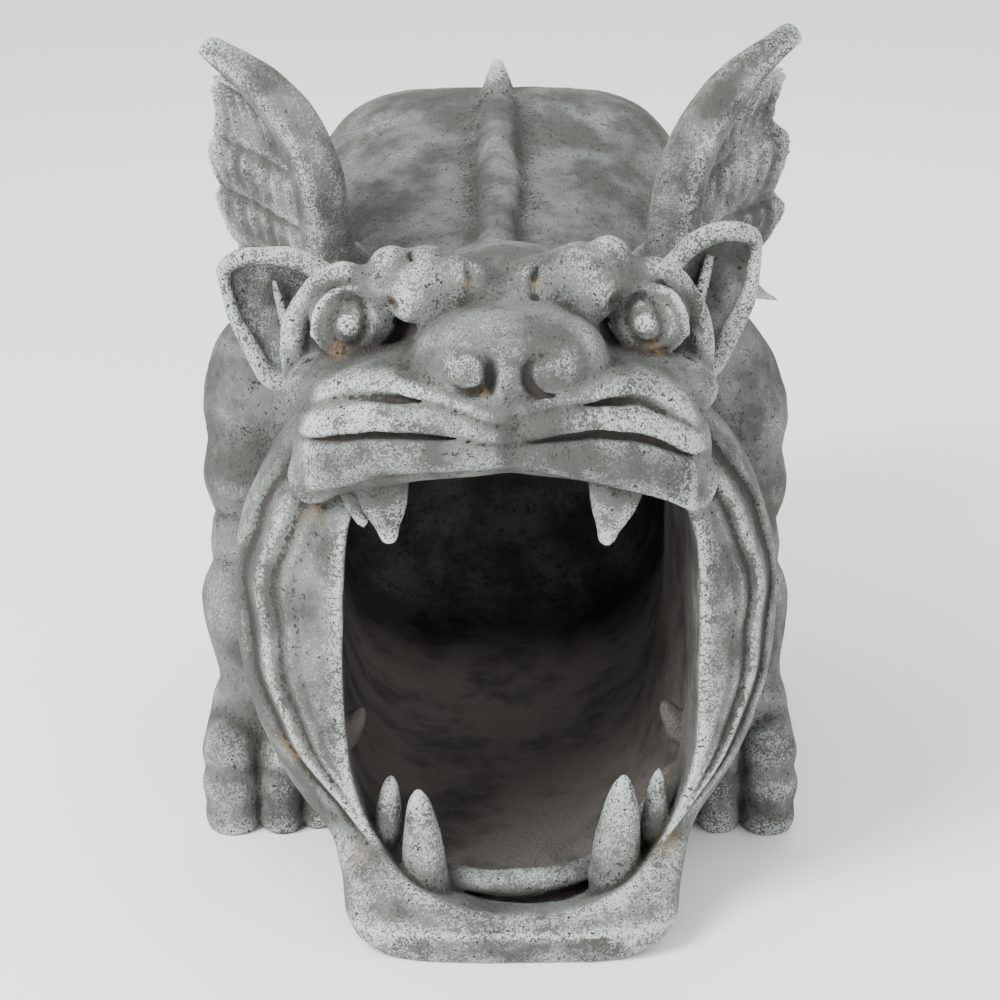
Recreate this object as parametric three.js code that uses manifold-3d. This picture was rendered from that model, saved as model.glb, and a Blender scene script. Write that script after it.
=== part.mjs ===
// A squatting stone gargoyle with wide open jaws, cast in one hollow piece to stand at the foot of a downspout.
// Water enters through the arched inlet in the upper rear, runs along the floor and leaves through the mouth.
// Millimetres, +Z up. The gargoyle looks along -Y and stands on z = 0; its rear face is flat.
import * as THREE from "three";
import { LoftGeometry } from "three/addons/geometries/LoftGeometry.js";
import { mergeVertices } from "three/addons/utils/BufferGeometryUtils.js";
import Module from "manifold-3d";

// Overall
const REAR_Y = 150; // flat rear face
const FLOOR_Z = 11; // top of the floor of the water channel
const LEG_X = 85; // centre of a leg, left and right
const STONE = { color: 0x8b8d86, roughness: 0.92, metalness: 0 };

// Trunk: [y, half width, top z, squareness] at each station
const TRUNK = [
  [-98, 66, 188, 2.6],
  [-60, 72, 204, 2.8],
  [-20, 71, 200, 3.0],
  [20, 73, 202, 3.3],
  [60, 76, 211, 3.6],
  [100, 79, 222.5, 3.9],
  [130, 80, 232, 4],
  [REAR_Y, 79, 231.5, 4],
];
const TRUNK_BOTTOM = -4;

// Water passage: [y, centre x, half width, bottom z, top z, squareness above, squareness below]
const PASSAGE = [
  [-175, 7, 59, 17, 165, 5, 2.7],
  [-138, 7, 59, 15, 165, 5, 2.7],
  [-124, 7, 59, 12.5, 166, 5, 2.7],
  [-100, 6, 59, FLOOR_Z, 172, 4, 3],
  [-60, 3, 61, FLOOR_Z, 184, 3, 3],
  [-20, 0, 60, FLOOR_Z, 188, 3, 3],
  [20, 0, 62, FLOOR_Z, 191, 3.3, 3.3],
  [60, 0, 65, FLOOR_Z, 200, 4, 3.6],
  [100, 0, 68, FLOOR_Z, 211, 5.6, 3.9],
  [130, 0, 69, FLOOR_Z, 220.5, 5.6, 4],
  [138, 0, 65, FLOOR_Z + 6, 219, 5.6, 4],
];
const INLET = { from: 118, sill: 88, top: 221, half: 68, square: 4 };

// Mouth ring: the lip edge and the outer edge of the cheeks, as superellipses in the XZ plane
const LIP = { x: 7, z: 94, half: 59, below: 78, above: 78, square: 2.7, sideY: -123, chinY: -141 };
const CHEEK = { x: 2, z: 110, half: 92, below: 106, above: 88, square: 2.2, sideY: -86, chinY: -147 };
const CHEEK_FOLD = { high: 0.86, low: 0.42, apart: 0.26, width: 0.07, depth: 3.2 };

// Upper lip: [x, front y, bottom z, top z, rear y] from the left bulb to the right bulb
const MUZZLE = [
  [-69, -119, 159, 174, -104],
  [-66, -126, 154, 184, -98],
  [-57, -135, 156, 196, -90],
  [-43, -142, 162, 202, -90],
  [-26, -147, 166, 206, -90],
  [-10, -149, 168, 210, -90],
  [3, -147, 169, 213, -90],
  [16, -149, 168, 210, -90],
  [31, -147, 165, 206, -90],
  [46, -142, 161, 202, -90],
  [59, -135, 154, 196, -90],
  [67, -126, 152, 184, -98],
  [70, -119, 157, 174, -104],
];
const LIP_FOLD_DEPTH = 3;

// ---------------------------------------------------------------- helpers

const wasm = await Module();
wasm.setup();

const v3 = (p) => new THREE.Vector3(p[0], p[1], p[2]);
const mix = (a, b, t) => a + (b - a) * t;

// Six times the signed volume inside an indexed closed mesh.
function signedVolume(position, index) {
  const [a, b, c] = [new THREE.Vector3(), new THREE.Vector3(), new THREE.Vector3()];
  let sum = 0;
  for (let i = 0; i < index.count; i += 3) {
    a.fromBufferAttribute(position, index.getX(i));
    b.fromBufferAttribute(position, index.getX(i + 1));
    c.fromBufferAttribute(position, index.getX(i + 2));
    sum += a.dot(b.cross(c));
  }
  return sum;
}

// A closed geometry as a solid, turned right side out if its sections ran the other way.
function solid(geometry) {
  const bare = new THREE.BufferGeometry();
  bare.setAttribute("position", geometry.getAttribute("position"));
  bare.setIndex(geometry.getIndex());
  const merged = mergeVertices(bare, 1e-3);
  const triVerts = new Uint32Array(merged.index.array);
  if (signedVolume(merged.attributes.position, merged.index) < 0) {
    for (let i = 0; i < triVerts.length; i += 3) {
      [triVerts[i + 1], triVerts[i + 2]] = [triVerts[i + 2], triVerts[i + 1]];
    }
  }
  const vertProperties = new Float32Array(merged.attributes.position.array);
  return new wasm.Manifold(new wasm.Mesh({ numProp: 3, vertProperties, triVerts }));
}

const join = (pieces) => pieces.reduce((whole, piece) => whole.add(piece));

// An ellipsoid with its centre, its three radii and a turn in degrees.
function ball(centre, radii, turn = [0, 0, 0], across = 10, down = 7) {
  const geometry = new THREE.SphereGeometry(1, across, down);
  const [a, b, c] = turn.map(THREE.MathUtils.degToRad);
  geometry.rotateX(Math.PI / 2);
  geometry.scale(radii[0], radii[1], radii[2]);
  geometry.applyMatrix4(new THREE.Matrix4().makeRotationFromEuler(new THREE.Euler(a, b, c)));
  geometry.translate(centre[0], centre[1], centre[2]);
  return solid(geometry);
}

// A point of a superellipse at an angle; the upper and the lower half may differ in height.
function oval(angle, half, above, below, square) {
  const c = Math.cos(angle);
  const s = Math.sin(angle);
  const power = 2 / square;
  const x = half * Math.sign(c) * Math.abs(c) ** power;
  const z = (s > 0 ? above : below) * Math.sign(s) * Math.abs(s) ** power;
  return [x, z];
}

// A ring of points round a superellipse that stands across the Y axis.
function ovalSection(y, x, half, bottom, top, square, squareBelow = square, count = 24) {
  const middle = (bottom + top) / 2;
  const height = (top - bottom) / 2;
  return Array.from({ length: count }, (_, i) => {
    const angle = ((i + 0.5) / count) * 2 * Math.PI;
    const shape = Math.sin(angle) > 0 ? square : squareBelow;
    const [dx, dz] = oval(angle, half, height, height, shape);
    return new THREE.Vector3(x + dx, y, middle + dz);
  });
}

const middleOf = (points) =>
  points.reduce((sum, p) => sum.add(p), new THREE.Vector3()).divideScalar(points.length);

// Twice the area vector of a closed ring of points.
function areaVector(points) {
  const sum = new THREE.Vector3();
  points.forEach((p, i) => sum.add(p.clone().cross(points[(i + 1) % points.length])));
  return sum;
}

// A closed skin over a row of sections, which are turned to run the same way round as the skin needs.
function loft(sections) {
  const onward = middleOf(sections[1]).sub(middleOf(sections[0]));
  const backward = areaVector(sections[0]).dot(onward) < 0;
  const rows = backward ? sections.map((points) => [...points].reverse()) : sections;
  return solid(new LoftGeometry(rows, { capStart: true, capEnd: true }));
}

// A round limb with rounded ends along a smooth curve; its radius may change from point to point.
function limb(path, radii, sides = 10, steps = 3) {
  const curve = new THREE.CatmullRomCurve3(path.map(v3), false, "centripetal");
  const count = (path.length - 1) * steps;
  const frames = curve.computeFrenetFrames(count, false);
  const ring = (i, shrink, push) => {
    const along = (i / count) * (radii.length - 1);
    const low = Math.min(Math.floor(along), radii.length - 2);
    const radius = mix(radii[low], radii[low + 1], along - low);
    const centre = curve.getPointAt(i / count).addScaledVector(frames.tangents[i], push * radius);
    return Array.from({ length: sides }, (_, k) => {
      const angle = (k / sides) * 2 * Math.PI;
      return centre
        .clone()
        .addScaledVector(frames.normals[i], Math.cos(angle) * radius * shrink)
        .addScaledVector(frames.binormals[i], Math.sin(angle) * radius * shrink);
    });
  };
  const sections = [ring(0, 0.55, -0.6)];
  for (let i = 0; i <= count; i += 1) sections.push(ring(i, 1, 0));
  sections.push(ring(count, 0.55, 0.6));
  return loft(sections);
}

// A blunt curved-sided cone from its root to its tip.
function tooth(root, tip, radius, sides = 8) {
  const axis = v3(tip).sub(v3(root));
  const length = axis.length();
  const profile = [
    [0, -0.15],
    [1, 0.1],
    [0.82, 0.55],
    [0.45, 0.88],
    [0, 1],
  ].map(([r, h]) => new THREE.Vector2(r * radius, h * length));
  const geometry = new THREE.LatheGeometry(profile, sides);
  const up = new THREE.Vector3(0, 1, 0);
  geometry.applyQuaternion(new THREE.Quaternion().setFromUnitVectors(up, axis.normalize()));
  geometry.translate(root[0], root[1], root[2]);
  return solid(geometry);
}

// ---------------------------------------------------------------- trunk and passage

function trunk() {
  return loft(
    TRUNK.map(([y, half, top, square]) => ovalSection(y, 0, half, TRUNK_BOTTOM, top, square)),
  );
}

function passage() {
  const tunnel = loft(PASSAGE.map((station) => ovalSection(...station)));
  const inlet = loft(
    [INLET.from, REAR_Y + 12].map((y) =>
      ovalSection(y, 0, INLET.half, INLET.sill, INLET.top, INLET.square),
    ),
  );
  return tunnel.add(inlet);
}

// A row of vertebrae along the back that ends in a spike on the rim of the inlet.
function spine() {
  const row = [
    [20, 202],
    [48, 208],
    [73, 214.5],
    [96, 221],
    [115, 227],
  ];
  const beads = row.map(([y, z]) => ball([-1, y, z], [7, 13.5, 6.5], [14, 0, 0], 8, 6));
  const spike = limb([[-1, 133, 226], [-1, 134, 236], [-1, 135, 243]], [8.5, 5.5, 3], 8, 2);
  return join([...beads, spike]);
}

// ---------------------------------------------------------------- lower jaw and cheeks

// The ring of flesh round the mouth, from inside the lips out over the cheeks and back to the neck.
// Two skin folds run down each cheek, and slant in towards the lips as they go down.
function mouthRing() {
  const back = [[0.98, 13], [0.87, 36], [0.6, 62], [-0.16, 60]];
  const stations = 32;
  const sections = [];
  for (let i = 0; i <= stations; i += 1) {
    const angle = ((i % stations) / stations) * 2 * Math.PI;
    const down = Math.max(0, -Math.sin(angle));
    const chin = down ** 3;
    const side = 1 - Math.abs(Math.sin(angle)) ** 6;
    const lip = oval(angle, LIP.half, LIP.above, LIP.below, LIP.square);
    const cheek = oval(angle, CHEEK.half, CHEEK.above, CHEEK.below, CHEEK.square);
    const lipY = mix(LIP.sideY, LIP.chinY, chin);
    const cheekY = mix(CHEEK.sideY, CHEEK.chinY, chin);
    const outer = mix(CHEEK_FOLD.high, CHEEK_FOLD.low, Math.min(1, down * 1.4));
    const inner = outer - CHEEK_FOLD.apart;
    const w = CHEEK_FOLD.width;
    const point = (at, y) =>
      new THREE.Vector3(
        mix(LIP.x + lip[0], CHEEK.x + cheek[0], at),
        y,
        mix(LIP.z + lip[1], CHEEK.z + cheek[1], at),
      );
    const rows = [
      [-0.16, 0],
      [0.02, 0],
      [inner - w, 0],
      [inner, 0.6],
      [inner + w, 0],
      [outer - w, 0],
      [outer, 1],
      [outer + w * 0.8, 0],
      [mix(outer, 1, 0.62), 0],
      [1, 0],
    ];
    const face = rows.map(([at, fold]) => {
      const s = Math.max(at, 0);
      const round = 1 - (1 - s ** 1.8) ** (1 / 1.8);
      const blunt = Math.min(1, s / 0.4);
      const y = mix(lipY, cheekY, mix(round, blunt, chin));
      const depth = fold * CHEEK_FOLD.depth * side;
      return point(at - depth * 0.01, y + depth);
    });
    const rear = back.map(([at, behind]) => point(at, cheekY + behind * mix(1, 1.6, chin)));
    sections.push([...face, ...rear]);
  }
  return solid(new LoftGeometry(sections));
}

// The flat-bottomed block that the lower jaw rests on: [z, half width, front y, rear y].
function chin() {
  const levels = [
    [-3, 44, -144, -70],
    [0, 48, -146.5, -70],
    [5, 54, -148.5, -70],
    [11, 57, -148, -70],
    [19, 58, -138, -70],
    [34, 63, -116, -70],
  ];
  const corner = 5;
  const count = 20;
  const sections = levels.map(([z, half, front, rear]) =>
    Array.from({ length: count }, (_, i) => {
      const depth = (rear - front) / 2;
      const [dx, dy] = oval(((i + 0.5) / count) * 2 * Math.PI, half, depth, depth, corner);
      return new THREE.Vector3(4 + dx, (front + rear) / 2 + dy, z);
    }),
  );
  return loft(sections);
}

// The gum inside the lower lip, with its canines and side teeth, and the fangs under the upper lip.
function teeth() {
  const gumLine = [
    [-53, -92, 37],
    [-38, -105, 18],
    [-14, -113, 13.5],
    [6, -115, 13],
    [26, -111, 14],
    [44, -103, 22],
    [60, -90, 42],
  ];
  return join([
    limb(gumLine, [4, 5, 5.5, 5.5, 5.5, 5.5, 5], 7, 2),
    tooth([-25, -122, 12], [-27.5, -120, 51], 8.2),
    tooth([38, -119, 15], [42, -117, 55.5], 8.5),
    tooth([-39, -109, 28], [-37, -109, 51], 5, 6),
    tooth([53, -108, 30], [54, -107, 54], 5.2, 6),
    tooth([-54, -84, 54], [-47, -86, 67], 4.8, 6),
    tooth([63, -84, 56], [56, -86, 69], 5, 6),
    tooth([-38, -129, 167], [-36, -131, 144], 8.8),
    tooth([-48, -121, 164], [-42, -124, 147], 5.5, 6),
    tooth([38, -129, 167], [35.5, -131, 143.5], 9),
  ]);
}

// ---------------------------------------------------------------- head

// One section of the upper lip, from its rear edge over the top and down the folded front.
function muzzleSection([x, front, bottom, top, rear]) {
  const height = top - bottom;
  const middle = Math.abs(x - 3) / 16;
  const groove = LIP_FOLD_DEPTH * Math.min(1, middle) * Math.min(1, height / 36);
  const rows = [
    [rear, top - 2],
    [mix(front, rear, 0.45), top],
    [mix(front, rear, 0.2), top - height * 0.06],
    [mix(front, rear, 0.08) + groove * 0.3, top - height * 0.17],
    [mix(front, rear, 0.04), top - height * 0.26],
    [front + 1.5 + groove, top - height * 0.36],
    [front + 0.3, top - height * 0.46],
    [front, top - height * 0.52],
    [front + groove, top - height * 0.62],
    [front, top - height * 0.71],
    [front + 0.5, top - height * 0.82],
    [front + 3.5, top - height * 0.93],
    [front + 9, bottom],
    [front + 16, bottom + 1],
    [rear, bottom + 6],
  ];
  return rows.map(([y, z]) => new THREE.Vector3(x, y, z));
}

function muzzle() {
  return loft(MUZZLE.map(muzzleSection));
}

// A nostril is a round bump with a groove curled round its inner side; angles are seen from the front.
function nostrilGroove(centre, reach, from, to, radius) {
  const steps = 4;
  const path = Array.from({ length: steps + 1 }, (_, i) => {
    const angle = THREE.MathUtils.degToRad(mix(from, to, i / steps));
    return [centre[0] + reach * Math.cos(angle), centre[1], centre[2] + reach * Math.sin(angle)];
  });
  return limb(path, [radius * 0.8, radius, radius, radius * 0.7], 5, 1);
}

function nose() {
  return join([
    ball([2.5, -132, 209.5], [28, 17, 17], [0, 0, 0], 14, 8),
    ball([3.5, -138, 204], [17, 12.5, 12.5]),
    ball([2, -114, 209], [30, 26, 19], [0, 0, 0], 12, 8),
    ball([-12, -142, 208.5], [8.5, 9, 8], [0, 0, 0], 9, 6),
    ball([19, -141.5, 208], [8.5, 9, 8], [0, 0, 0], 9, 6),
  ])
    .subtract(nostrilGroove([-11.5, -148.5, 209], 7, 75, -130, 2.3))
    .subtract(nostrilGroove([18.5, -148, 208.5], 7, 100, 250, 2));
}

// A brow: a thick fold with a round knob at its outer end and a blunt point over the eye's inner corner.
function brow(side, lift) {
  const across = [
    [7, -112, 224],
    [17, -109, 227],
    [28, -108, 228],
    [35, -107, 230],
  ].map(([x, y, z]) => [side * x, y, z + lift]);
  const down = [
    [side * 24, -108, 225 + lift],
    [side * 28, -114, 221 + lift],
    [side * 30.5, -117, 217.5],
  ];
  return join([
    limb(across, [5.5, 8.5, 7.5, 7.8], 7, 2),
    limb(down, [10, 9, 5], 7, 1),
  ]);
}

// The thick rim round the outer side of an eye.
function socketRim(side, lift) {
  const path = [
    [39, -107, 222],
    [48, -104, 228],
    [59, -100, 226],
    [66, -98, 216],
    [69, -96, 203],
    [68, -96, 189],
    [63, -99, 178],
  ].map(([x, y, z]) => [side * x, y, z + lift]);
  return limb(path, [5.5, 5.8, 5.4, 5, 4.8, 4.6, 4], 7, 2);
}

// An eyeball in its lids, with a raised iris.
function eye(side, lift) {
  return join([
    ball([side * 47, -103, 210 + lift], [17, 11.5, 13.5]),
    ball([side * 48.5, -109, 212 + lift], [9, 6.5, 9.5], [0, 0, 0], 9, 6),
    ball([side * 49, -114, 213 + lift], [3.8, 3, 4], [0, 0, 0], 7, 5),
  ]);
}

// Ears: [x, top z, bottom z, depth of the cup] from the root to the tip
const EARS = {
  left: [
    [-56, 217, 170, 9],
    [-68, 223, 174, 10],
    [-78, 224, 178, 9],
    [-86, 223, 190, 7],
    [-90, 221, 200, 4],
    [-93, 218, 211, 1],
  ],
  right: [
    [56, 220, 172, 9],
    [64, 228, 177, 10],
    [72, 232, 182, 9],
    [79, 232, 194, 7],
    [84, 230, 207, 4],
    [86, 227, 218, 1],
  ],
};

// A cupped ear that opens forwards, with a thick rim and a wavy lower edge.
function ear(stations) {
  const sections = stations.map(([x, top, bottom, cup], i) => {
    const y = -67 + i * 1.2;
    const height = top - bottom;
    const rim = Math.min(3.4, height * 0.2);
    const lip = rim * 1.5;
    const wave = rim * (i % 2 ? 0.35 : -0.3);
    const outline = [
      [y - rim, top - rim * 0.6],
      [y, top],
      [y + rim + cup * 1.2, top - height * 0.4],
      [y + rim + cup * 0.6, bottom + height * 0.14],
      [y, bottom + wave],
      [y - rim, bottom + wave + rim * 0.6],
      [y - rim * 0.4, bottom + lip],
      [y + cup, bottom + height * 0.4],
      [y + cup * 0.75, top - height * 0.25],
      [y - rim * 0.4, top - lip],
    ];
    return outline.map(([py, z]) => new THREE.Vector3(x, py, z));
  });
  return loft(sections);
}

function head() {
  return join([
    ball([1, -70, 186], [64, 46, 38], [0, 0, 0], 12, 8),
    ball([1, -86, 203], [42, 28, 30.5], [0, 0, 0], 12, 8),
    ball([-43, -104, 195], [27, 27, 16]),
    ball([44, -104, 195], [27, 27, 16]),
    muzzle(),
    nose(),
    brow(-1, 0),
    brow(1, 2),
    socketRim(-1, 0),
    socketRim(1, 2),
    eye(-1, 0),
    eye(1, 1),
    ear(EARS.left),
    ear(EARS.right),
  ]);
}

// ---------------------------------------------------------------- wings

// The membrane behind a wing's leading arm: stations fan out from the arm to the scalloped rear edge.
// Every even station is a rib that ends in a point, and every odd one is the web between two ribs.
function membrane(side, edge) {
  const arm = [
    [60, 6, 186],
    [60, 0, 192],
    [60, -6, 198],
    [60, -9, 206],
    [60, -11, 214],
    [61, -11, 224],
    [63, -9, 234],
    [68, -6, 246],
    [80, 0, 260],
  ];
  const across = 4;
  const sections = arm.map((root, i) => {
    const thick = i % 2 ? 1.7 : 3;
    const from = v3([side * root[0], root[1], root[2]]);
    const to = v3([side * edge[i][0], edge[i][1], edge[i][2]]);
    const row = (offset) =>
      Array.from({ length: across }, (_, k) => {
        const t = k / (across - 1);
        const p = from.clone().lerp(to, t);
        const slim = mix(1, 0.6, t) * 0.7;
        p.x += side * offset * slim;
        p.y += Math.sin(Math.PI * t) * 3 - offset * slim;
        return p;
      });
    return [...row(thick), ...row(-thick).reverse()];
  });
  return loft(sections);
}

// Rear edges of the two wings, from the flank to the horn: points and hollows by turns
const WING_EDGES = {
  left: [
    [92, 60, 176],
    [96, 58, 186],
    [97, 53, 198],
    [104, 51, 211.5],
    [100.5, 46, 220],
    [106, 43, 232],
    [100, 36, 242],
    [102.5, 32, 256],
    [99, 18, 265],
  ],
  right: [
    [101, 58, 171],
    [93, 56, 182],
    [96, 53, 195],
    [103.5, 51, 208],
    [97, 46, 216],
    [105, 43, 235],
    [95, 36, 245],
    [101, 32, 260],
    [98, 18, 268],
  ],
};

// A raised wing: a thick horn of an arm, the membrane behind it and the shoulder it grows from.
function wing(side, edge, lift) {
  const arm = [
    [56, -4, 176],
    [59, -12, 196],
    [60.5, -13, 216],
    [63.5, -12, 236],
    [71, -7, 252.5],
    [84, 1, 266 + lift * 0.5],
    [100.5, 9, 276 + lift],
  ].map(([x, y, z]) => [side * x, y, z]);
  return join([
    limb(arm, [12, 10, 9.3, 9.2, 8.6, 7, 4.4], 8, 2),
    membrane(side, edge),
    ball([side * 56, -2, 186], [15, 18, 24], [0, 0, 0], 8, 6),
  ]);
}

// ---------------------------------------------------------------- legs

// A foreleg whose skin is gathered in rolls, with a broad paw of three toes in front.
function foreleg(side, out, lift) {
  const path = [
    [-7, 14, 172],
    [-1, 6, 146],
    [-0.5, 0, 118],
    [-1, -4, 92],
    [0, -10, 70],
    [-1, -16, 48],
    [1, -22, 28],
  ].map(([x, y, z]) => [side * (LEG_X + x + (z > 60 ? out : 0)), y, z + (z > 100 ? lift : 0)]);
  const radii = [14, 22, 23, 19.5, 22, 17, 20.5, 19, 23, 21, 19, 18.5, 21, 20];
  const toes = [
    { x: 97, r: 10.4, front: -52 },
    { x: 79.5, r: 8.2, front: -51 },
    { x: 67, r: 6, front: -47 },
  ];
  const paw = toes.map(({ x, r, front }) =>
    limb(
      [
        [side * x, front + r + 20, 30],
        [side * x, front + r + 3, 29],
        [side * x, front + r, 18],
        [side * x, front + r, 5],
      ],
      [r, r, r * 1.04, r * 0.88, r * 1.04, r * 0.9, r * 0.94],
      6,
      2,
    ),
  );
  return join([
    limb(path, radii, 9, 2),
    ball([side * 84, -22, 19], [22, 22, 22], [0, 0, 0], 8, 6),
    ...paw,
  ]);
}

// A folded hind leg: thigh, shank and a plain paw, close against the flank.
function hindLeg(side) {
  const toes = [98, 84].map((x) =>
    limb([[side * x, 66, 16], [side * x, 46, 13], [side * x, 39, 6]], [9, 9, 7], 7, 1),
  );
  return join([
    ball([side * 76, 96, 62], [28, 44, 56]),
    ball([side * 84, 62, 24], [20, 26, 24], [0, 0, 0], 8, 6),
    ball([side * 72, 20, 146], [28, 40, 38]),
    ...toes,
  ]);
}

// ---------------------------------------------------------------- assembly

// A block larger than the part, whose near face trims the part flat.
function trimBlock(centre) {
  const geometry = new THREE.BoxGeometry(500, 500, 500);
  geometry.translate(centre[0], centre[1], centre[2]);
  return solid(geometry);
}

function gargoyle() {
  const body = join([
    trunk(),
    mouthRing(),
    chin(),
    head(),
    wing(-1, WING_EDGES.left, 0),
    wing(1, WING_EDGES.right, 4.5),
    foreleg(-1, 1.5, 0),
    foreleg(1, -2, -4),
    hindLeg(-1),
    hindLeg(1),
    spine(),
  ]);
  return body
    .subtract(passage())
    .add(teeth())
    .subtract(trimBlock([0, 0, -250]))
    .subtract(trimBlock([0, REAR_Y + 250, 0]));
}

function toMesh(manifold, name) {
  const { vertProperties, triVerts } = manifold.getMesh();
  const geometry = new THREE.BufferGeometry();
  geometry.setAttribute("position", new THREE.BufferAttribute(vertProperties, 3));
  geometry.setIndex(new THREE.BufferAttribute(triVerts, 1));
  geometry.computeVertexNormals();
  const mesh = new THREE.Mesh(geometry, new THREE.MeshStandardMaterial(STONE));
  mesh.name = name;
  return mesh;
}

const part = new THREE.Group();
part.name = "stone_gargoyle";
part.add(toMesh(gargoyle(), "gargoyle"));

export default part;
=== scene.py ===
"""A squatting stone gargoyle with wide open jaws, hollow, to stand at the foot of a downspout.

The carving is done in a block of clay: a regular grid of signed distances, in millimetres, to which each
class adds its forms and in which it cuts its grooves. The block is then skinned, thinned and dressed as one
piece.
"""

import logging
import math
from dataclasses import dataclass, field
from enum import Enum
from typing import Sequence

import bpy
import numpy as np
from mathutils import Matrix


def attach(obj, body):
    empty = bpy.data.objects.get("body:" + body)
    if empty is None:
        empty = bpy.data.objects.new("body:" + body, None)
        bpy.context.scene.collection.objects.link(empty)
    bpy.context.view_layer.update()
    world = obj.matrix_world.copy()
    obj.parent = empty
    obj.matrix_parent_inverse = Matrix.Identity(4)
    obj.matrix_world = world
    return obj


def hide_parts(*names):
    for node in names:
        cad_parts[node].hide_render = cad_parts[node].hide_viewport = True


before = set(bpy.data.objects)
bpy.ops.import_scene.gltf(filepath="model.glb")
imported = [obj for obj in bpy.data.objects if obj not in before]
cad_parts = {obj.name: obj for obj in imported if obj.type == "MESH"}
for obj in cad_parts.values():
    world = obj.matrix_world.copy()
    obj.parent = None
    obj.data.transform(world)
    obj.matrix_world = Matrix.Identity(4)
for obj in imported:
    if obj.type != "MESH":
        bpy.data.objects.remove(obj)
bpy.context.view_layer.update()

import openvdb
from mathutils import Euler, Vector

LOG = logging.getLogger("gargoyle")
MM = 0.001
FAR = 9.0  # distances beyond this are not kept, in millimetres
MIN_SHARE = 1e-3  # keeps the squared-off forms from dividing by nothing at their centres
BLOCK_LOW: tuple[float, float, float] = (-112, -154, -4)  # the corners of the block of clay
BLOCK_HIGH: tuple[float, float, float] = (112, 153, 288)
REAR_FACE = 150.0  # the flat rear of the casting
GRAIN_COARSE = (0.45, 14, 3)  # height in millimetres, size in millimetres and seed of the uneven casting
GRAIN_FINE = (0.22, 5, 4)
FINE_CELLS = 2  # how far round a place its relief is compared
BROAD_CELLS = 6
PIT_SPACING = 2.6  # millimetres between the small pits
EAR_ROOT_Y = -67.0  # where the ears grow from the head
EAR_SWEEP = 1.2  # how far back each station of an ear stands behind the last
Triple = tuple[float, float, float]
Path = Sequence[Triple]


# ---------------------------------------------------------------- numbers and curves


def soft_min(a: np.ndarray, b: np.ndarray, blend: float) -> np.ndarray:
    """The lesser of two distances, with a fillet where they are nearly equal.

    Args:
        a: The first distances.
        b: The second distances.
        blend: How far the fillet reaches, in millimetres.

    Returns:
        The joined distances.
    """
    low = np.minimum(a, b)
    if blend <= 0:
        return low
    near = np.maximum(blend - np.abs(a - b), 0)
    return low - near * near / (4 * blend)


def soft_max(a: np.ndarray, b: np.ndarray, blend: float) -> np.ndarray:
    """The greater of two distances, with its edge eased, as soft_min does."""
    return -soft_min(-a, -b, blend)


def smooth_rows(rows: Sequence[Sequence[float]], steps: int) -> np.ndarray:
    """A smooth curve through rows of numbers.

    Args:
        rows: The rows that the curve passes through.
        steps: How many pieces each span is cut into.

    Returns:
        The rows of the curve.
    """
    p = np.asarray(rows, float)
    if len(p) < 3:
        t = np.linspace(0, 1, steps + 1)[:, None]
        return p[0] * (1 - t) + p[-1] * t
    ends = np.vstack([2 * p[0] - p[1], p, 2 * p[-1] - p[-2]])
    made = []
    for i in range(len(p) - 1):
        a, b, c, d = ends[i : i + 4]
        for t in np.arange(steps) / steps:
            made.append(
                0.5 * (
                    2 * b + (c - a) * t + (
                        2 * a - 5 * b + 4 * c - d
                    ) * t**2 + (3 * b - a - 3 * c + d) * t**3
                )
            )
    made.append(p[-1])
    return np.array(made)


class Table:
    """Named columns of sizes given at stations, read smoothly at any place between them."""

    def __init__(self, rows: Sequence[Sequence[float]], steps: int = 12) -> None:
        """Keeps the smoothed rows; the first column is the station."""
        self.rows = smooth_rows(rows, steps)

    def __call__(self, at: np.ndarray) -> list[np.ndarray]:
        """Every column but the first, read at the given places."""
        return [np.interp(at, self.rows[:, 0], column).astype(np.float32) for column in self.rows[:, 1:].T]


def bump(value: np.ndarray, centre: float, width: float) -> np.ndarray:
    """A smooth hump of height 1 round a value."""
    return np.exp(-(((value - centre) / width) ** 2))


def ramp(value: np.ndarray, low: float, high: float) -> np.ndarray:
    """0 below the low value, 1 above the high one and an eased climb between."""
    t = np.clip((value - low) / (high - low), 0, 1)
    return t * t * (3 - 2 * t)


def turned(local: list[np.ndarray], turn: Triple) -> list[np.ndarray]:
    """Offsets from a form's centre, seen in the axes of the form.

    Args:
        local: The offsets along x, y and z.
        turn: The form's turn about X, Y and Z in degrees.

    Returns:
        The three offsets in the form's own axes.
    """
    if not any(turn):
        return local
    m = np.array(Euler([math.radians(t) for t in turn]).to_matrix().transposed(), np.float32)
    return [m[i, 0] * local[0] + m[i, 1] * local[1] + m[i, 2] * local[2] for i in range(3)]


def mirrored(points: Path, side: float) -> list[Triple]:
    """The points with their x turned to one side."""
    return [(side * p[0], p[1], p[2]) for p in points]


# ---------------------------------------------------------------- clay


class Act(Enum):
    """What is done with a form in the clay."""

    ADD = "add"
    CUT = "cut"


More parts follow.
